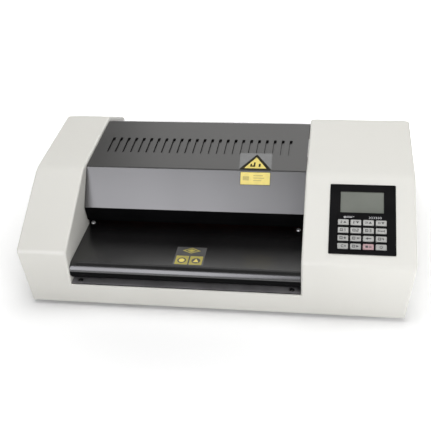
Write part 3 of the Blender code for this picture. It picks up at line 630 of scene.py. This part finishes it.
for f in cover.data.polygons:
    c = f.center
    # the guard below the lip, the hem at the back, the sheet's inner side and the gutters under the slots take a
    # matt, far darker copy of the cover's paint: painted shade
    drop = louvre_z + (c.y / MM - Y0 - LOUVRE_Y) * math.tan(TOP_TILT) - (c.z / MM - Z0)
    under_slot = BLADE_N + 0.4 < drop < 9 and abs(c.y / MM - Y0 - LOUVRE_Y) < 30
    if f.normal.z < -0.05 or under_slot or c.z / MM - Z0 < LIP[1] - 0.3:
        f.material_index = 1
shade(cover, 24, weighted=True)
piece(cover, "root", "cover_paint", "top_cover")

# ------------------------------------------------------------------ feed table
nose = [(15 + 13 * math.cos(math.radians(a)), 51 + 13 * math.sin(math.radians(a)))
        for a in range(90, 271, 5)]
table_line = [(137.5, 62.6), (128.0, TABLE_Z)] + nose + fillet(
    [(15.5, 38), (20.5, 38), (20.5, 33.8), (1.0, 33.8)], [0, 1.4, 1.6, 0], seg=5, closed=False)[1:]
under = offset_line(table_line, -1.2)
table = section("feed_plate", table_line + under[::-1], TABLE_LO.x / MM, TABLE_HI.x / MM)
cut(table, *[turned(f"cut_t{i}", [(0, 6), (2.4, 6), (2.4, -6), (0, -6)], 24, P(sx, 113.5, 63.4))
             for i, sx in enumerate(TABLE_SCREWS)],
    *[turned(f"cut_f{i}", [(0, 2.6), (2.3, 2.6), (2.3, -2.6), (0, -2.6)], 24, P(sx, 8.0, 33.4))
      for i, sx in enumerate(FLANGE_SCREWS)])
paint(table, TABLE, TABLE_LOW, FLANGE)
for f in table.data.polygons:
    y, z = f.center.y / MM - Y0, f.center.z / MM - Z0
    # the flange's upper face: painted light
    if z < 34.2 and f.normal.z > 0.8:
        f.material_index = 2
    # the nose below its middle and the sheet under it: painted shade
    elif z < 53.0:
        f.material_index = 1
shade(table, 24, weighted=True)
piece(table, "root", "cover_paint", "feed_table")


# ------------------------------------------------------------------ screws
def pan_head(name, sx, sy, z, r, h, mat, slot, node):
    prof = [(0, h)] + [(r * math.sin(math.radians(a)) * 0.98, h * (0.25 + 0.75 * math.cos(math.radians(a))))
                       for a in range(12, 85, 9)] + [(r, h * 0.28), (r, 0.3), (1.9, 0.3),
                                                     (1.9, -9), (0, -9)]
    o = turned(name, prof, 40, P(sx, sy, z))
    for i, ang in enumerate((18, 108)):
        bar = slab(f"{name}_bar{i}", [(-r * 0.52, -0.42), (r * 0.52, -0.42), (r * 0.62, 0),
                                      (r * 0.52, 0.42), (-r * 0.52, 0.42), (-r * 0.62, 0)],
                   h - 1.5, h + 2, Matrix.Translation(P(sx, sy, z)) @ Matrix.Rotation(math.radians(ang), 4, "Z"))
        cut(o, bar)
    paint(o, mat)
    shade(o, 35)
    piece(o, "root", slot, node)


for side, sx in zip(("left", "right"), TABLE_SCREWS):
    pan_head(f"table_screw_head_{side}", sx, 113.5, TABLE_Z, 3.6, 2.6, SCREW, "bright_screw",
             f"table_screw_{side}")
for side, sx in zip(("left", "right"), FLANGE_SCREWS):
    pan_head(f"flange_screw_head_{side}", sx, 8.0, 33.8, 3.6, 2.3, SCREW_BLACK, "black_screw",
             f"flange_screw_{side}")

# ------------------------------------------------------------------ feet
for side, sx in (("left", -232.0), ("right", 232.0)):
    for end, sy in (("front", 38.0), ("rear", 332.0)):
        prof = [(0, 0.2), (12, 0.2), (12, -1.4), (11.8, -2.2), (11.3, -4.6), (10.9, -5.5),
                (9.8, -6.0), (5.4, -6.0), (4.8, -5.4), (4.4, -3.4), (0, -3.4)]
        o = turned(f"foot_pad_{end}_{side}", prof, 56, P(sx, sy, 0))
        paint(o, RUBBER)
        shade(o, 30)
        piece(o, "root", "foot_rubber", f"foot_{end}_{side}")

# ------------------------------------------------------------------ rollers
for level, rz in zip(("lower", "upper"), ROLL_Z):
    for end, ry in zip(("front", "rear"), ROLL_Y):
        L0, L1 = FACE
        sleeve = turned(f"roller_sleeve_{level}_{end}",
                        [(6.2, L1), (ROLL_R - 0.9, L1), (ROLL_R - 0.35, L1 - 0.15),
                         (ROLL_R, L1 - 0.7), (ROLL_R, L0 + 0.7), (ROLL_R - 0.35, L0 + 0.15),
                         (ROLL_R - 0.9, L0), (6.2, L0), (6.2, L1)], 72, P(0, ry, rz), "X")
        bmw = bmesh.new()
        bmw.from_mesh(sleeve.data)
        bmesh.ops.remove_doubles(bmw, verts=bmw.verts, dist=1e-7)
        bmesh.ops.recalc_face_normals(bmw, faces=bmw.faces)
        bmw.to_mesh(sleeve.data)
        bmw.free()
        paint(sleeve, SILICONE)
        shade(sleeve, 35)
        piece(sleeve, f"{level}_{end}_roller", "silicone", f"roller_{level}_{end}")
        shaft = turned(f"roller_shaft_{level}_{end}",
                       [(0, 152), (5.2, 152), (5.9, 151.3), (5.9, L1 + 1.6), (13.6, L1 + 1.6),
                        (14.2, L1 + 1.0), (14.2, L1 + 0.15), (5.9, L1 + 0.15),
                        (5.9, L0 - 0.15), (14.2, L0 - 0.15), (14.2, L0 - 1.0), (13.6, L0 - 1.6),
                        (5.9, L0 - 1.6), (5.9, -220.3), (5.2, -221), (0, -221)],
                       48, P(0, ry, rz), "X")
        paint(shaft, SHAFT)
        shade(shaft, 35)
        piece(shaft, f"{level}_{end}_roller", "zinc_steel")

# ------------------------------------------------------------------ pressure springs
for side in ("left", "right"):
    lo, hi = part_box(f"pressure_spring_{side}")
    cx, cy = (lo.x + hi.x) / 2, (lo.y + hi.y) / 2
    wire, radius, turns = 1.2, 3.6, 5
    z0, z1 = 95.8, 112.6
    c = bpy.data.curves.new("coil", "CURVE")
    c.dimensions = "3D"
    c.bevel_depth = wire / 2 * MM
    c.bevel_resolution = 4
    c.use_fill_caps = True
    s = c.splines.new("POLY")
    n = turns * 28
    s.points.add(n)
    a_low, a_high = z0 + wire / 2, z1 - wire / 2
    for k in range(n + 1):
        t = k / n
        e = 1.0 / turns
        if t < e:
            h = a_low + (t / e) * wire * 1.12
        elif t > 1 - e:
            h = a_high - ((1 - t) / e) * wire * 1.12
        else:
            h = a_low + wire * 1.12 + (t - e) / (1 - 2 * e) * (a_high - a_low - 2.24 * wire)
        ang = 2 * math.pi * turns * t
        s.points[k].co = (radius * math.cos(ang) * MM, radius * math.sin(ang) * MM, h * MM, 1)
    oc = bpy.data.objects.new("coil_curve", c)
    bpy.context.scene.collection.objects.link(oc)
    bpy.context.view_layer.update()
    mesh = bpy.data.meshes.new_from_object(oc.evaluated_get(bpy.context.evaluated_depsgraph_get()))
    bpy.data.objects.remove(oc, do_unlink=True)
    bmw = bmesh.new()
    bmw.from_mesh(mesh)
    bmesh.ops.remove_doubles(bmw, verts=bmw.verts, dist=1e-7)
    bmesh.ops.recalc_face_normals(bmw, faces=bmw.faces)
    bmw.to_mesh(mesh)
    bmw.free()
    o = link(f"spring_coil_{side}", mesh, Matrix.Translation((cx, cy, Z0 * MM)))
    paint(o, SPRING)
    shade(o, 50)
    piece(o, "root", "spring_steel", f"pressure_spring_{side}")
    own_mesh(o)

# ------------------------------------------------------------------ control panel
key_u = [(k - 1.5) * KEY_PITCH_X - 0.4 for k in range(4)]
key_v = [KEY_TOP_ROW - k * KEY_PITCH_Y for k in range(4)]
bezel = slab("panel_bezel", rect(PANEL_W, PANEL_H, r=1.6, seg=6), 0.3, 1.8, panel_place(0, 0))
bm = bmesh.new()
bm.from_mesh(bezel.data)
top = [e for e in bm.edges if all(v.co.z > 1.7 * MM for v in e.verts)]
bmesh.ops.bevel(bm, geom=top, offset=0.55 * MM, segments=4, profile=0.5, affect="EDGES")
bm.to_mesh(bezel.data)
bm.free()
skirt = slab("skirt", rect(83, 102), -8, 0.9, panel_place(0, 0))
cut(bezel, skirt, how="UNION")
cut(bezel, slab("cut_skirt", rect(79.4, 98.4), -9, 0.3, panel_place(0, 0)))


def tapered(name, w, h, cx, cy, r, z0, z1, spread):
    """A window cutter whose upper rim flares by spread, so that the window has a soft edge."""
    bm = bmesh.new()
    rings = []
    for z, g in ((z0, 0), (z1 - spread, 0), (z1 - spread * 0.4, spread * 0.25), (z1, spread),
                 (z1 + 1.0, spread)):
        rings.append([bm.verts.new((p[0] * MM, p[1] * MM, z * MM))
                      for p in rect(w + 2 * g, h + 2 * g, cx, cy, r=r + g, seg=4)])
    bm.faces.new(rings[0])
    for a, b in zip(rings, rings[1:]):
        for k in range(len(a)):
            j = (k + 1) % len(a)
            bm.faces.new((a[k], a[j], b[j], b[k]))
    bm.faces.new(rings[-1])
    return from_bm(name, bm, panel_place(0, 0))


cut(bezel, tapered("cut_lcd", 59.6, 34.2, -0.8, 26.5, 0.8, -1, 1.8, 0.5))
for v in key_v:
    for u in key_u:
        cut(bezel, tapered("cut_key", KEY_W + 0.7, KEY_H + 0.7, u, v, 0.9, -1, 1.8, 0.25))
paint(bezel, BEZEL)
shade(bezel, 30, weighted=True)
piece(bezel, "root", "bezel_black", "control_bezel")

display = slab("display_pane", rect(66.0, 39.0, -0.8, 26.5, r=0.6), -3.3, 0.0, panel_place(0, 0))
bm = bmesh.new()
bm.from_mesh(display.data)
bmesh.ops.bevel(bm, geom=[e for e in bm.edges if all(v.co.z > -0.1 * MM for v in e.verts)],
                offset=0.3 * MM, segments=2, profile=0.5, affect="EDGES")
bm.to_mesh(display.data)
bm.free()
paint(display, DISPLAY)
shade(display, 30)
piece(display, "root", "lcd_glass", "lcd_display")

# printed marks above the two left and the two right columns of keys: a thermometer and a
# row of chevrons, in place of words
marks = []


def mark(loop):
    marks.append(slab("m", loop, 1.76, 1.84, panel_place(0, 0)))


u_mid = (key_u[0] + key_u[1]) / 2 - 1.0
v_mark = KEY_TOP_ROW + 8.1
mark(ring_points(u_mid - 5.6, v_mark, 1.75, 24))
mark(rect(8.6, 1.5, u_mid + 0.2, v_mark, r=0.6))
for i in range(5):
    mark(rect(0.55, 1.1, u_mid - 2.4 + 1.8 * i, v_mark + 1.55))
mark(ring_points(u_mid + 6.4, v_mark + 1.0, 0.8, 18))
u_mid = (key_u[2] + key_u[3]) / 2 + 0.6
for i in range(6):
    q = u_mid - 7.5 + 3.0 * i
    mark([(q - 1.25, v_mark - 1.8), (q, v_mark - 1.8), (q + 1.4, v_mark), (q, v_mark + 1.8),
          (q - 1.25, v_mark + 1.8), (q + 0.15, v_mark)])
for m in marks:
    paint(m, PRINT)
piece(join("panel_marks", marks), "root", "key_grey")

# ------------------------------------------------------------------ keys
NAMES = (("temp_up", "temp_down", "speed_up", "speed_down"),
         ("preset_1", "preset_2", "preset_3", "measure"),
         ("cold", "hot", "reverse", "preset_4"),
         ("standby", "run", "stop", "power"))
def bar(x0, y0, x1, y1, w=0.85):
    d = Vector((x1 - x0, y1 - y0)).normalized()
    n = Vector((-d.y, d.x)) * w / 2
    return [(x0 + n.x, y0 + n.y), (x0 - n.x, y0 - n.y), (x1 - n.x, y1 - n.y), (x1 + n.x, y1 + n.y)]


def arc(cx, cy, r, a0, a1, w=0.8, n=14):
    pts = [(cx + (r + w / 2) * math.cos(math.radians(a0 + (a1 - a0) * k / n)),
            cy + (r + w / 2) * math.sin(math.radians(a0 + (a1 - a0) * k / n))) for k in range(n + 1)]
    pts += [(cx + (r - w / 2) * math.cos(math.radians(a1 - (a1 - a0) * k / n)),
             cy + (r - w / 2) * math.sin(math.radians(a1 - (a1 - a0) * k / n))) for k in range(n + 1)]
    return pts


def digit(ch, x):
    """Strokes of a plain numeral, 2.4 x 4 mm, round x."""
    a, b, h = x - 1.1, x + 1.1, 1.9
    e = 0.42
    strokes = {"1": [bar(x + 0.3, -h, x + 0.3, h), bar(x - 0.7, h - 0.9, x + 0.35, h - 0.05)],
               "2": [bar(a, h, b, h), bar(b, h + e, b, 0), bar(b + e, 0, a - e, 0),
                     bar(a, 0, a, -h), bar(a - e, -h, b, -h)],
               "3": [bar(a, h, b, h), bar(b, h + e, b, -h - e), bar(a + 0.3, 0, b, 0),
                     bar(a, -h, b, -h)],
               "4": [bar(a, h, a, 0), bar(a - e, 0, b + 0.5, 0), bar(b - 0.3, h, b - 0.3, -h)]}
    return strokes[ch]


def sheet_icon(x):
    """A pouch with two lines on it."""
    return [bar(x - 1.7, -1.7, x + 1.7, -1.7), bar(x - 1.7, 1.7, x + 1.7, 1.7),
            bar(x - 1.7, -2.0, x - 1.7, 2.0), bar(x + 1.7, -2.0, x + 1.7, 2.0),
            bar(x - 0.8, 0.55, x + 0.8, 0.55, 0.4), bar(x - 0.8, -0.55, x + 0.8, -0.55, 0.4)]


def thermo_icon(x):
    return [ring_points(x, -1.35, 0.95, 18), rect(0.95, 3.4, x, 0.35, r=0.3),
            bar(x + 0.9, 1.4, x + 1.9, 1.4, 0.4), bar(x + 0.9, 0.5, x + 1.9, 0.5, 0.4)]


def chevrons(x):
    return [[(x + d - 0.9, -1.6), (x + d, -1.6), (x + d + 1.2, 0), (x + d, 1.6),
             (x + d - 0.9, 1.6), (x + d + 0.3, 0)] for d in (-0.9, 0.9)]


def triangle(x, up):
    k = 1 if up else -1
    p = [(x - 2.2, -1.5 * k), (x + 2.2, -1.5 * k), (x, 1.9 * k)]
    return [p if up else p[::-1]]


LEGENDS = {
    "temp_up": thermo_icon(-2.9) + triangle(2.2, True),
    "temp_down": thermo_icon(-2.9) + triangle(2.2, False),
    "speed_up": chevrons(-2.8) + triangle(2.3, True),
    "speed_down": chevrons(-2.8) + triangle(2.3, False),
    "preset_1": sheet_icon(-2.4) + digit("1", 2.3),
    "preset_2": sheet_icon(-2.4) + digit("2", 2.3),
    "preset_3": sheet_icon(-2.4) + digit("3", 2.3),
    "preset_4": sheet_icon(-2.4) + digit("4", 2.3),
    "measure": [bar(-4.2, 0, 4.2, 0, 0.8), bar(-4.2, -1.7, -4.2, 1.7), bar(4.2, -1.7, 4.2, 1.7),
                bar(-2.1, -1.1, -2.1, 0), bar(0, -1.5, 0, 0), bar(2.1, -1.1, 2.1, 0)],
    "cold": sheet_icon(-2.5) + [bar(0.7, 0, 4.3, 0), bar(1.6, -1.56, 3.4, 1.56),
                                bar(1.6, 1.56, 3.4, -1.56)],
    "hot": sheet_icon(-2.5) + [arc(0.6, 0, 1.6, -60, 60), arc(1.9, 0, 1.6, -60, 60),
                               arc(3.2, 0, 1.6, -60, 60)],
    "reverse": [[(-4.0, 0), (-0.6, 2.0), (-0.6, -2.0)], bar(-0.8, 0, 4.0, 0, 1.2)],
    "standby": [arc(-0.3, 0, 1.8, 50, 310), bar(2.4, -1.2, 2.4, 1.2, 0.7),
                bar(3.7, -1.2, 3.7, 1.2, 0.7)],
    "run": sheet_icon(-2.5) + [[(1.0, -1.9), (4.4, 0), (1.0, 1.9)]],
    "stop": [[(-3.9, -1.7), (-0.5, -1.7), (-0.5, 1.7), (-3.9, 1.7)], bar(1.2, 0.9, 4.2, 0.9, 0.8),
             bar(1.2, -0.9, 4.2, -0.9, 0.8)],
    "power": [arc(0, -0.2, 1.75, -235, 55), bar(0, 0.1, 0, 2.3, 0.65)],
}


def union_2d(name, loops, low, high, at):
    """Overlapping strokes as one closed solid."""
    first = None
    for i, loop in enumerate(loops):
        z = 0.004 * i  # strokes end at slightly different depths, so that no two faces coincide
        o = slab(f"{name}_{i}", loop, low - z, high, at) if i == 0 else slab(
            f"{name}_{i}", loop, low - z, high - 0.0011 * i, at)
        if first is None:
            first = o
        else:
            cut(first, o, how="UNION")
    return first


for r, v in enumerate(key_v):
    for c, u in enumerate(key_u):
        name = NAMES[r][c]
        at = panel_place(u, v)
        bm = bmesh.new()
        rings = []
        for z, g in ((-0.3, 0.0), (1.75, 0.0), (2.15, -0.08), (2.42, -0.26), (2.55, -0.52),
                     (2.60, -0.95)):
            rings.append([bm.verts.new((p[0] * MM, p[1] * MM, z * MM)) for p in rect(
                KEY_W + 2 * g, KEY_H + 2 * g, r=max(1.0 + g, 0.25), seg=4)])
        # the top is very slightly dished
        rings.append([bm.verts.new((p[0] * MM, p[1] * MM, 2.53 * MM)) for p in rect(
            KEY_W - 5.0, KEY_H - 4.0, r=0.8, seg=4)])
        bm.faces.new(rings[0])
        for a, b in zip(rings, rings[1:]):
            for k in range(len(a)):
                j = (k + 1) % len(a)
                bm.faces.new((a[k], a[j], b[j], b[k]))
        bm.faces.new(rings[-1])
        cap = from_bm("cap", bm, at)
        cut(cap, slab("rim", rect(15.9, 10.4, r=0.5), -0.9, 0.0, at), how="UNION")
        paint(cap, KEYCAP_RED if name == "stop" else KEYCAPS[r])
        ink = union_2d("ink", LEGENDS[name], 2.3, 2.62, at)
        paint(ink, LEGEND)
        o = join(f"keycap_{name}", [cap, ink])
        shade(o, 30)
        piece(o, f"key_{name}_cap", "key_red" if name == "stop" else "key_grey", f"key_{name}")

# ------------------------------------------------------------------ labels
# cover label: a film with a plain triangle above the crest, and a plain plate below it
top_at = Matrix.Translation(P(0, *CREST)) @ Matrix.Rotation(TOP_TILT, 4, "X")
front_tilt = math.atan2(CREST[1] - LIP[1], CREST[0] - LIP[0])
front_at = Matrix.Translation(P(0, *CREST)) @ Matrix.Rotation(front_tilt, 4, "X")


def label(name, loop, low, high, at, mat):
    return paint(slab(name, loop, low, high, at), mat)


items = [label("l", [(27.4, 0.7), (74.6, 0.7), (72.8, 47.4), (24.2, 47.4)], -0.02, 0.12,
               top_at, FILM),
         label("l", fillet([(26.6, 0.8), (75.4, 0.8), (50.0, 44.6)], 1.4, 4), 0.12, 0.17, top_at,
               LABEL_INK),
         label("l", fillet([(34.4, 4.7), (67.6, 4.7), (50.1, 35.6)], 0.8, 4), 0.17, 0.22, top_at,
               YELLOW),
         # a plain mark: three upright bars
         label("l", rect(2.6, 8.0, 44.0, 13.4, r=0.8), 0.22, 0.25, top_at, LABEL_INK),
         label("l", rect(2.6, 12.0, 48.8, 15.4, r=0.8), 0.22, 0.25, top_at, LABEL_INK),
         label("l", rect(7.4, 3.2, 46.4, 10.6, r=0.8), 0.22, 0.25, top_at, LABEL_INK),
         label("l", rect(2.8, 9.0, 56.6, 13.4, r=0.8), 0.22, 0.25, top_at, LABEL_INK)]
items += [label("l", rect(44.6, 19.4, 51.7, -12.4, r=0.8), -0.02, 0.12, front_at, LABEL_INK),
          label("l", rect(43.4, 18.2, 51.7, -12.4, r=0.6), 0.12, 0.17, front_at, YELLOW)]
for i, (w, cx, cv) in enumerate(((9, 38, -12.4), (14, 56, -8.0), (16, 57, -11.6),
                                 (12, 55, -15.2))):
    items.append(label("l", rect(w, 6.0 if i == 0 else 1.3, cx, cv, r=0.4), 0.17, 0.20,
                       front_at, LABEL_FAINT))
o = join("cover_label", items)
piece(o, "root", "key_grey")

# the table label is drawn mostly in the darker copies of the film and the yellow: painted shade
table_at = Matrix.Translation(P(0, 0, TABLE_Z))
items = [label("l", rect(43.5, 43.0, -34.6, 37.6, r=1.0), -0.02, 0.12, table_at, FILM_DIM),
         label("l", [(-47.5, 50.4), (-34.4, 44.0), (-20.9, 50.4), (-34.4, 57.6)], 0.12, 0.17,
               table_at, YELLOW_DIM),
         label("l", [(-44.0, 50.4), (-34.4, 45.8), (-24.6, 50.4), (-34.4, 55.8)], 0.17, 0.20,
               table_at, FILM_DIM),
         label("l", [(-41.0, 50.4), (-34.4, 47.2), (-27.8, 50.4), (-34.4, 54.2)], 0.20, 0.23,
               table_at, YELLOW_DIM)]
for cx in (-44.9, -24.3):
    items.append(label("l", rect(18.4, 20.5, cx, 27.2, r=0.8), 0.12, 0.17, table_at, YELLOW_DIM))
    items.append(label("l", ring_points(cx, 26.6, 6.4, 28), 0.17, 0.20, table_at, FILM_DIM))
items.append(label("l", ring_points(-44.9, 26.6, 4.2, 28), 0.20, 0.23, table_at, YELLOW))
items.append(label("l", [(-28.4, 23.4), (-20.2, 23.4), (-24.3, 31.6)], 0.20, 0.23, table_at,
                   YELLOW))
o = join("table_label", items)
piece(o, "root", "key_grey")

# ------------------------------------------------------------------ rear sockets
inlet = box("inlet_shell", (INLET_X - 17, INLET_X + 17), (369.8, 372.0),
            (INLET_Z - 14, INLET_Z + 14))
bm = bmesh.new()
bm.from_mesh(inlet.data)
bmesh.ops.bevel(bm, geom=bm.edges[:], offset=0.7 * MM, segments=3, profile=0.5, affect="EDGES")
bm.to_mesh(inlet.data)
bm.free()
cut(inlet, box("body", (INLET_X - 14, INLET_X + 14), (350.0, 370.6), (INLET_Z - 11, INLET_Z + 11)),
    how="UNION")
mouth = fillet([(-12, -9), (12, -9), (12, 5), (8, 9), (-8, 9), (-12, 5)], 0.8, 3)
m = Matrix.Translation(P(INLET_X, 354.0, INLET_Z)) @ Matrix.Rotation(-math.pi / 2, 4, "X")
cut(inlet, slab("mouth", [(p[0], -p[1]) for p in mouth], 0, 30, m))
paint(inlet, SOCKET)
shade(inlet, 30)
parts_in = [inlet]
for px, pz in ((-7, -1.6), (7, -1.6), (0, -5.6)):
    pin = slab("pin", rect(2.0, 4.0, 0, 0, r=0.6), -1.0, 14.0,
               Matrix.Translation(P(INLET_X + px, 354.2, INLET_Z + pz)) @ Matrix.Rotation(-math.pi / 2, 4, "X"))
    paint(pin, PIN)
    parts_in.append(pin)
inlet = join("mains_inlet", parts_in)
shade(inlet, 30)
piece(inlet, "root", "socket_black", "power_inlet")

housing = box("switch_frame", (SWITCH_X - 9, SWITCH_X + 9), (369.8, 372.0),
              (SWITCH_Z - 12.6, SWITCH_Z + 12.6))
bm = bmesh.new()
bm.from_mesh(housing.data)
bmesh.ops.bevel(bm, geom=bm.edges[:], offset=0.6 * MM, segments=3, profile=0.5, affect="EDGES")
bm.to_mesh(housing.data)
bm.free()
cut(housing, box("sb", (SWITCH_X - 6.8, SWITCH_X + 6.8), (352.0, 370.6),
                 (SWITCH_Z - 10.3, SWITCH_Z + 10.3)), how="UNION")
cut(housing, box("sc", (SWITCH_X - 5.6, SWITCH_X + 5.6), (358.0, 380.0),
                 (SWITCH_Z - 9.2, SWITCH_Z + 9.2)))
paint(housing, SOCKET)
shade(housing, 30)
piece(housing, "root", "socket_black", "power_switch_housing")

TILT = math.radians(9)
SIDE = Matrix(((0, 0, 1, 0), (1, 0, 0, 0), (0, 1, 0, 0), (0, 0, 0, 1)))
rocker_line = fillet([(-3.0, -4.0), (1.6, -8.1), (2.6, -8.1), (1.5, -3.2), (1.3, 0.0), (1.5, 3.2),
                      (2.6, 8.1), (1.6, 8.1), (-3.0, 4.0)],
                     [0.4, 0.4, 0.4, 6, 6, 6, 0.4, 0.4, 0.4], 4)
rocker_at = (Matrix.Translation(P(SWITCH_X, 367.2, SWITCH_Z))
             @ Matrix.Rotation(TILT, 4, "X") @ SIDE)
rocker = slab("rocker_cap", rocker_line, -5.2, 5.2, rocker_at)
rounded(rocker, 0.3)
bake(rocker)
paint(rocker, ROCKER)
shade(rocker, 35)
ink = [paint(slab("i", rect(0.8, 4.2), 0, 0.25, rocker_at @ SIDE.inverted() @ Matrix.Translation(
    (0, 2.12 * MM, 5.2 * MM)) @ Matrix.Rotation(-math.pi / 2 + 0.22, 4, "X")), PRINT)]
rocker = join("rocker", [rocker] + ink)
shade(rocker, 35)
piece(rocker, "rocker", "rocker_black", "power_rocker")

# ------------------------------------------------------------------ carried-over CAD nodes
CARRIED = {
    "base_plate": (ZINC, 0.3), "exit_guide": (INSIDE, 0.3), "side_frame_left": (ZINC, 0.3),
    "side_frame_right": (ZINC, 0.3), "heating_shoe_upper": (ALLOY, 0.3),
    "heating_shoe_lower": (ALLOY, 0.3), "drive_motor": (MOTOR, 0.4),
    "control_board": (BOARD, 0.1), "power_board": (BOARD, 0.3), "motor_pinion": (NYLON, 0.15),
    "gear_lower_front": (NYLON, 0.15), "gear_upper_front": (NYLON, 0.15),
    "gear_lower_rear": (NYLON, 0.15), "gear_upper_rear": (NYLON, 0.15)}
for level in ("lower", "upper"):
    for end in ("front", "rear"):
        for side in ("left", "right"):
            CARRIED[f"bush_{level}_{end}_{side}"] = (POLYMER, 0.2)
for name, (mat, width) in CARRIED.items():
    o = nodes[name]
    for i in range(len(o.material_slots)):
        o.material_slots[i].material = mat
    rounded(o, width)

# ------------------------------------------------------------------ stage, light, camera
bm = bmesh.new()
bmesh.ops.create_grid(bm, x_segments=2, y_segments=2, size=5.0)
floor = from_bm("studio_floor", bm)
for p in floor.data.polygons:
    if p.normal.z < 0:
        floor.data.flip_normals()
        break
fm = surface("studio_white", (0.93, 0.93, 0.93), 0.75, tone=0.004, tone_scale=1.0,
             rough_span=0.05, grain=0.05, grain_scale=40, depth=0.0005, specular=0.2)
nt = fm.node_tree
tc = next(n for n in nt.nodes if n.type == "TEX_COORD")
bsdf = nt.nodes["Principled BSDF"]
# painted light: the floor glows, fully away from the object and only faintly near it, so the far floor reads
# white while the floor around the object stays darker
ball = nt.nodes.new("ShaderNodeTexGradient")
ball.gradient_type = "SPHERICAL"
mp = nt.nodes.new("ShaderNodeMapping")
mp.inputs["Scale"].default_value = (0.8, 0.8, 1.0)
mp.inputs["Location"].default_value = (0.02, 0.0, 0.0)
nt.links.new(tc.outputs["Object"], mp.inputs["Vector"])
nt.links.new(mp.outputs["Vector"], ball.inputs["Vector"])
glow = nt.nodes.new("ShaderNodeMapRange")
glow.interpolation_type = "SMOOTHSTEP"
glow.inputs["From Min"].default_value = 0.42
glow.inputs["From Max"].default_value = 0.80
glow.inputs["To Min"].default_value = 1.0
glow.inputs["To Max"].default_value = 0.08
nt.links.new(ball.outputs["Fac"], glow.inputs["Value"])
nt.links.new(glow.outputs["Result"], bsdf.inputs["Emission Strength"])
bsdf.inputs["Emission Color"].default_value = (1, 1, 1, 1)
paint(floor, fm)

# a white surround that only the camera sees, so a low view shows no horizon
bm = bmesh.new()
ring = [bm.verts.new((4.9 * math.cos(2 * math.pi * i / 64), 4.9 * math.sin(2 * math.pi * i / 64),
                      -0.01)) for i in range(64)]
for i in range(64):
    a, b = ring[i], ring[(i + 1) % 64]
    c = bm.verts.new(b.co + Vector((0, 0, 5)))
    d = bm.verts.new(a.co + Vector((0, 0, 5)))
    bm.faces.new((b, a, d, c))
bmesh.ops.remove_doubles(bm, verts=bm.verts, dist=1e-5)
surround = from_bm("studio_surround", bm)
sm = surface("studio_surround_white", (0.93, 0.93, 0.93), 0.75, tone=0.004, tone_scale=1.0,
             rough_span=0.05, grain=0.05, grain_scale=40, depth=0.0005, specular=0.0)
sm.node_tree.nodes["Principled BSDF"].inputs["Emission Color"].default_value = (1, 1, 1, 1)
sm.node_tree.nodes["Principled BSDF"].inputs["Emission Strength"].default_value = 1.0
paint(surround, sm)
surround.visible_diffuse = surround.visible_glossy = surround.visible_shadow = False
surround.visible_transmission = False

world = bpy.data.worlds.new("studio")
bpy.context.scene.world = world
world.use_nodes = True
world.node_tree.nodes["Background"].inputs["Color"].default_value = (1.0, 1.0, 1.0, 1)
world.node_tree.nodes["Background"].inputs["Strength"].default_value = 0.16


def softbox(name, target, direction, distance, w, h, radiance, colour=(1, 1, 1)):
    d = Vector(direction).normalized()
    light = bpy.data.lights.new(name, "AREA")
    light.shape = "RECTANGLE"
    light.size, light.size_y = w, h
    light.energy = radiance * math.pi * w * h
    light.color = colour
    o = bpy.data.objects.new(name, light)
    bpy.context.scene.collection.objects.link(o)
    o.location = Vector(target) + d * distance
    o.rotation_mode = "QUATERNION"
    o.rotation_quaternion = (-d).to_track_quat("-Z", "Y")
    o.visible_camera = False
    return o


def aim(name, location, target, w, h, radiance, colour=(1, 1, 1), diffuse=True, glossy=True):
    d = Vector(location) - Vector(target)
    o = softbox(name, target, d, d.length, w, h, radiance, colour)
    o.visible_diffuse, o.visible_glossy = diffuse, glossy
    return o


plate = P(-40, 120, 125)
# boxes seen only in reflections: one in front, one behind, a dim one overhead
card = softbox("front_box", plate, (-0.27, -0.83, 0.43), 2.0, 1.22, 1.55, 5.65, (0.95, 0.945, 1.0))
card.visible_diffuse = False
card = softbox("back_card", (0, 0, 0.15), (0.08, 0.79, 0.60), 3.0, 2.5, 1.6, 1.02,
               (1.0, 0.995, 0.98))
card.visible_diffuse = False
card = softbox("overhead_card", (0, 0, 0.15), (0.0, 0.38, 0.92), 2.6, 2.6, 1.0, 0.6)
card.visible_diffuse = False
# and the light that shapes the white casing
aim("top_light", (-0.15, 0.25, 2.45), (0, 0, 0.1), 2.4, 1.8, 3.45, glossy=False)
aim("right_light", (0.92, -1.15, 0.80), (0.1, -0.1, 0.06), 0.9, 0.9, 3.4, glossy=False)

cam_data = bpy.data.cameras.new("camera")
cam = bpy.data.objects.new("camera", cam_data)
bpy.context.scene.collection.objects.link(cam)
cam_data.sensor_width = 36.0
cam_data.lens = 65.89
cam_data.clip_start, cam_data.clip_end = 0.05, 50.0
cam.location = (0.1686, -1.0475, 0.7342)
cam.rotation_euler = (0.99420883, 0.05365264, 0.14376641)
bpy.context.scene.camera = cam
bpy.context.scene.view_settings.view_transform = "Standard"

bpy.context.view_layer.update()
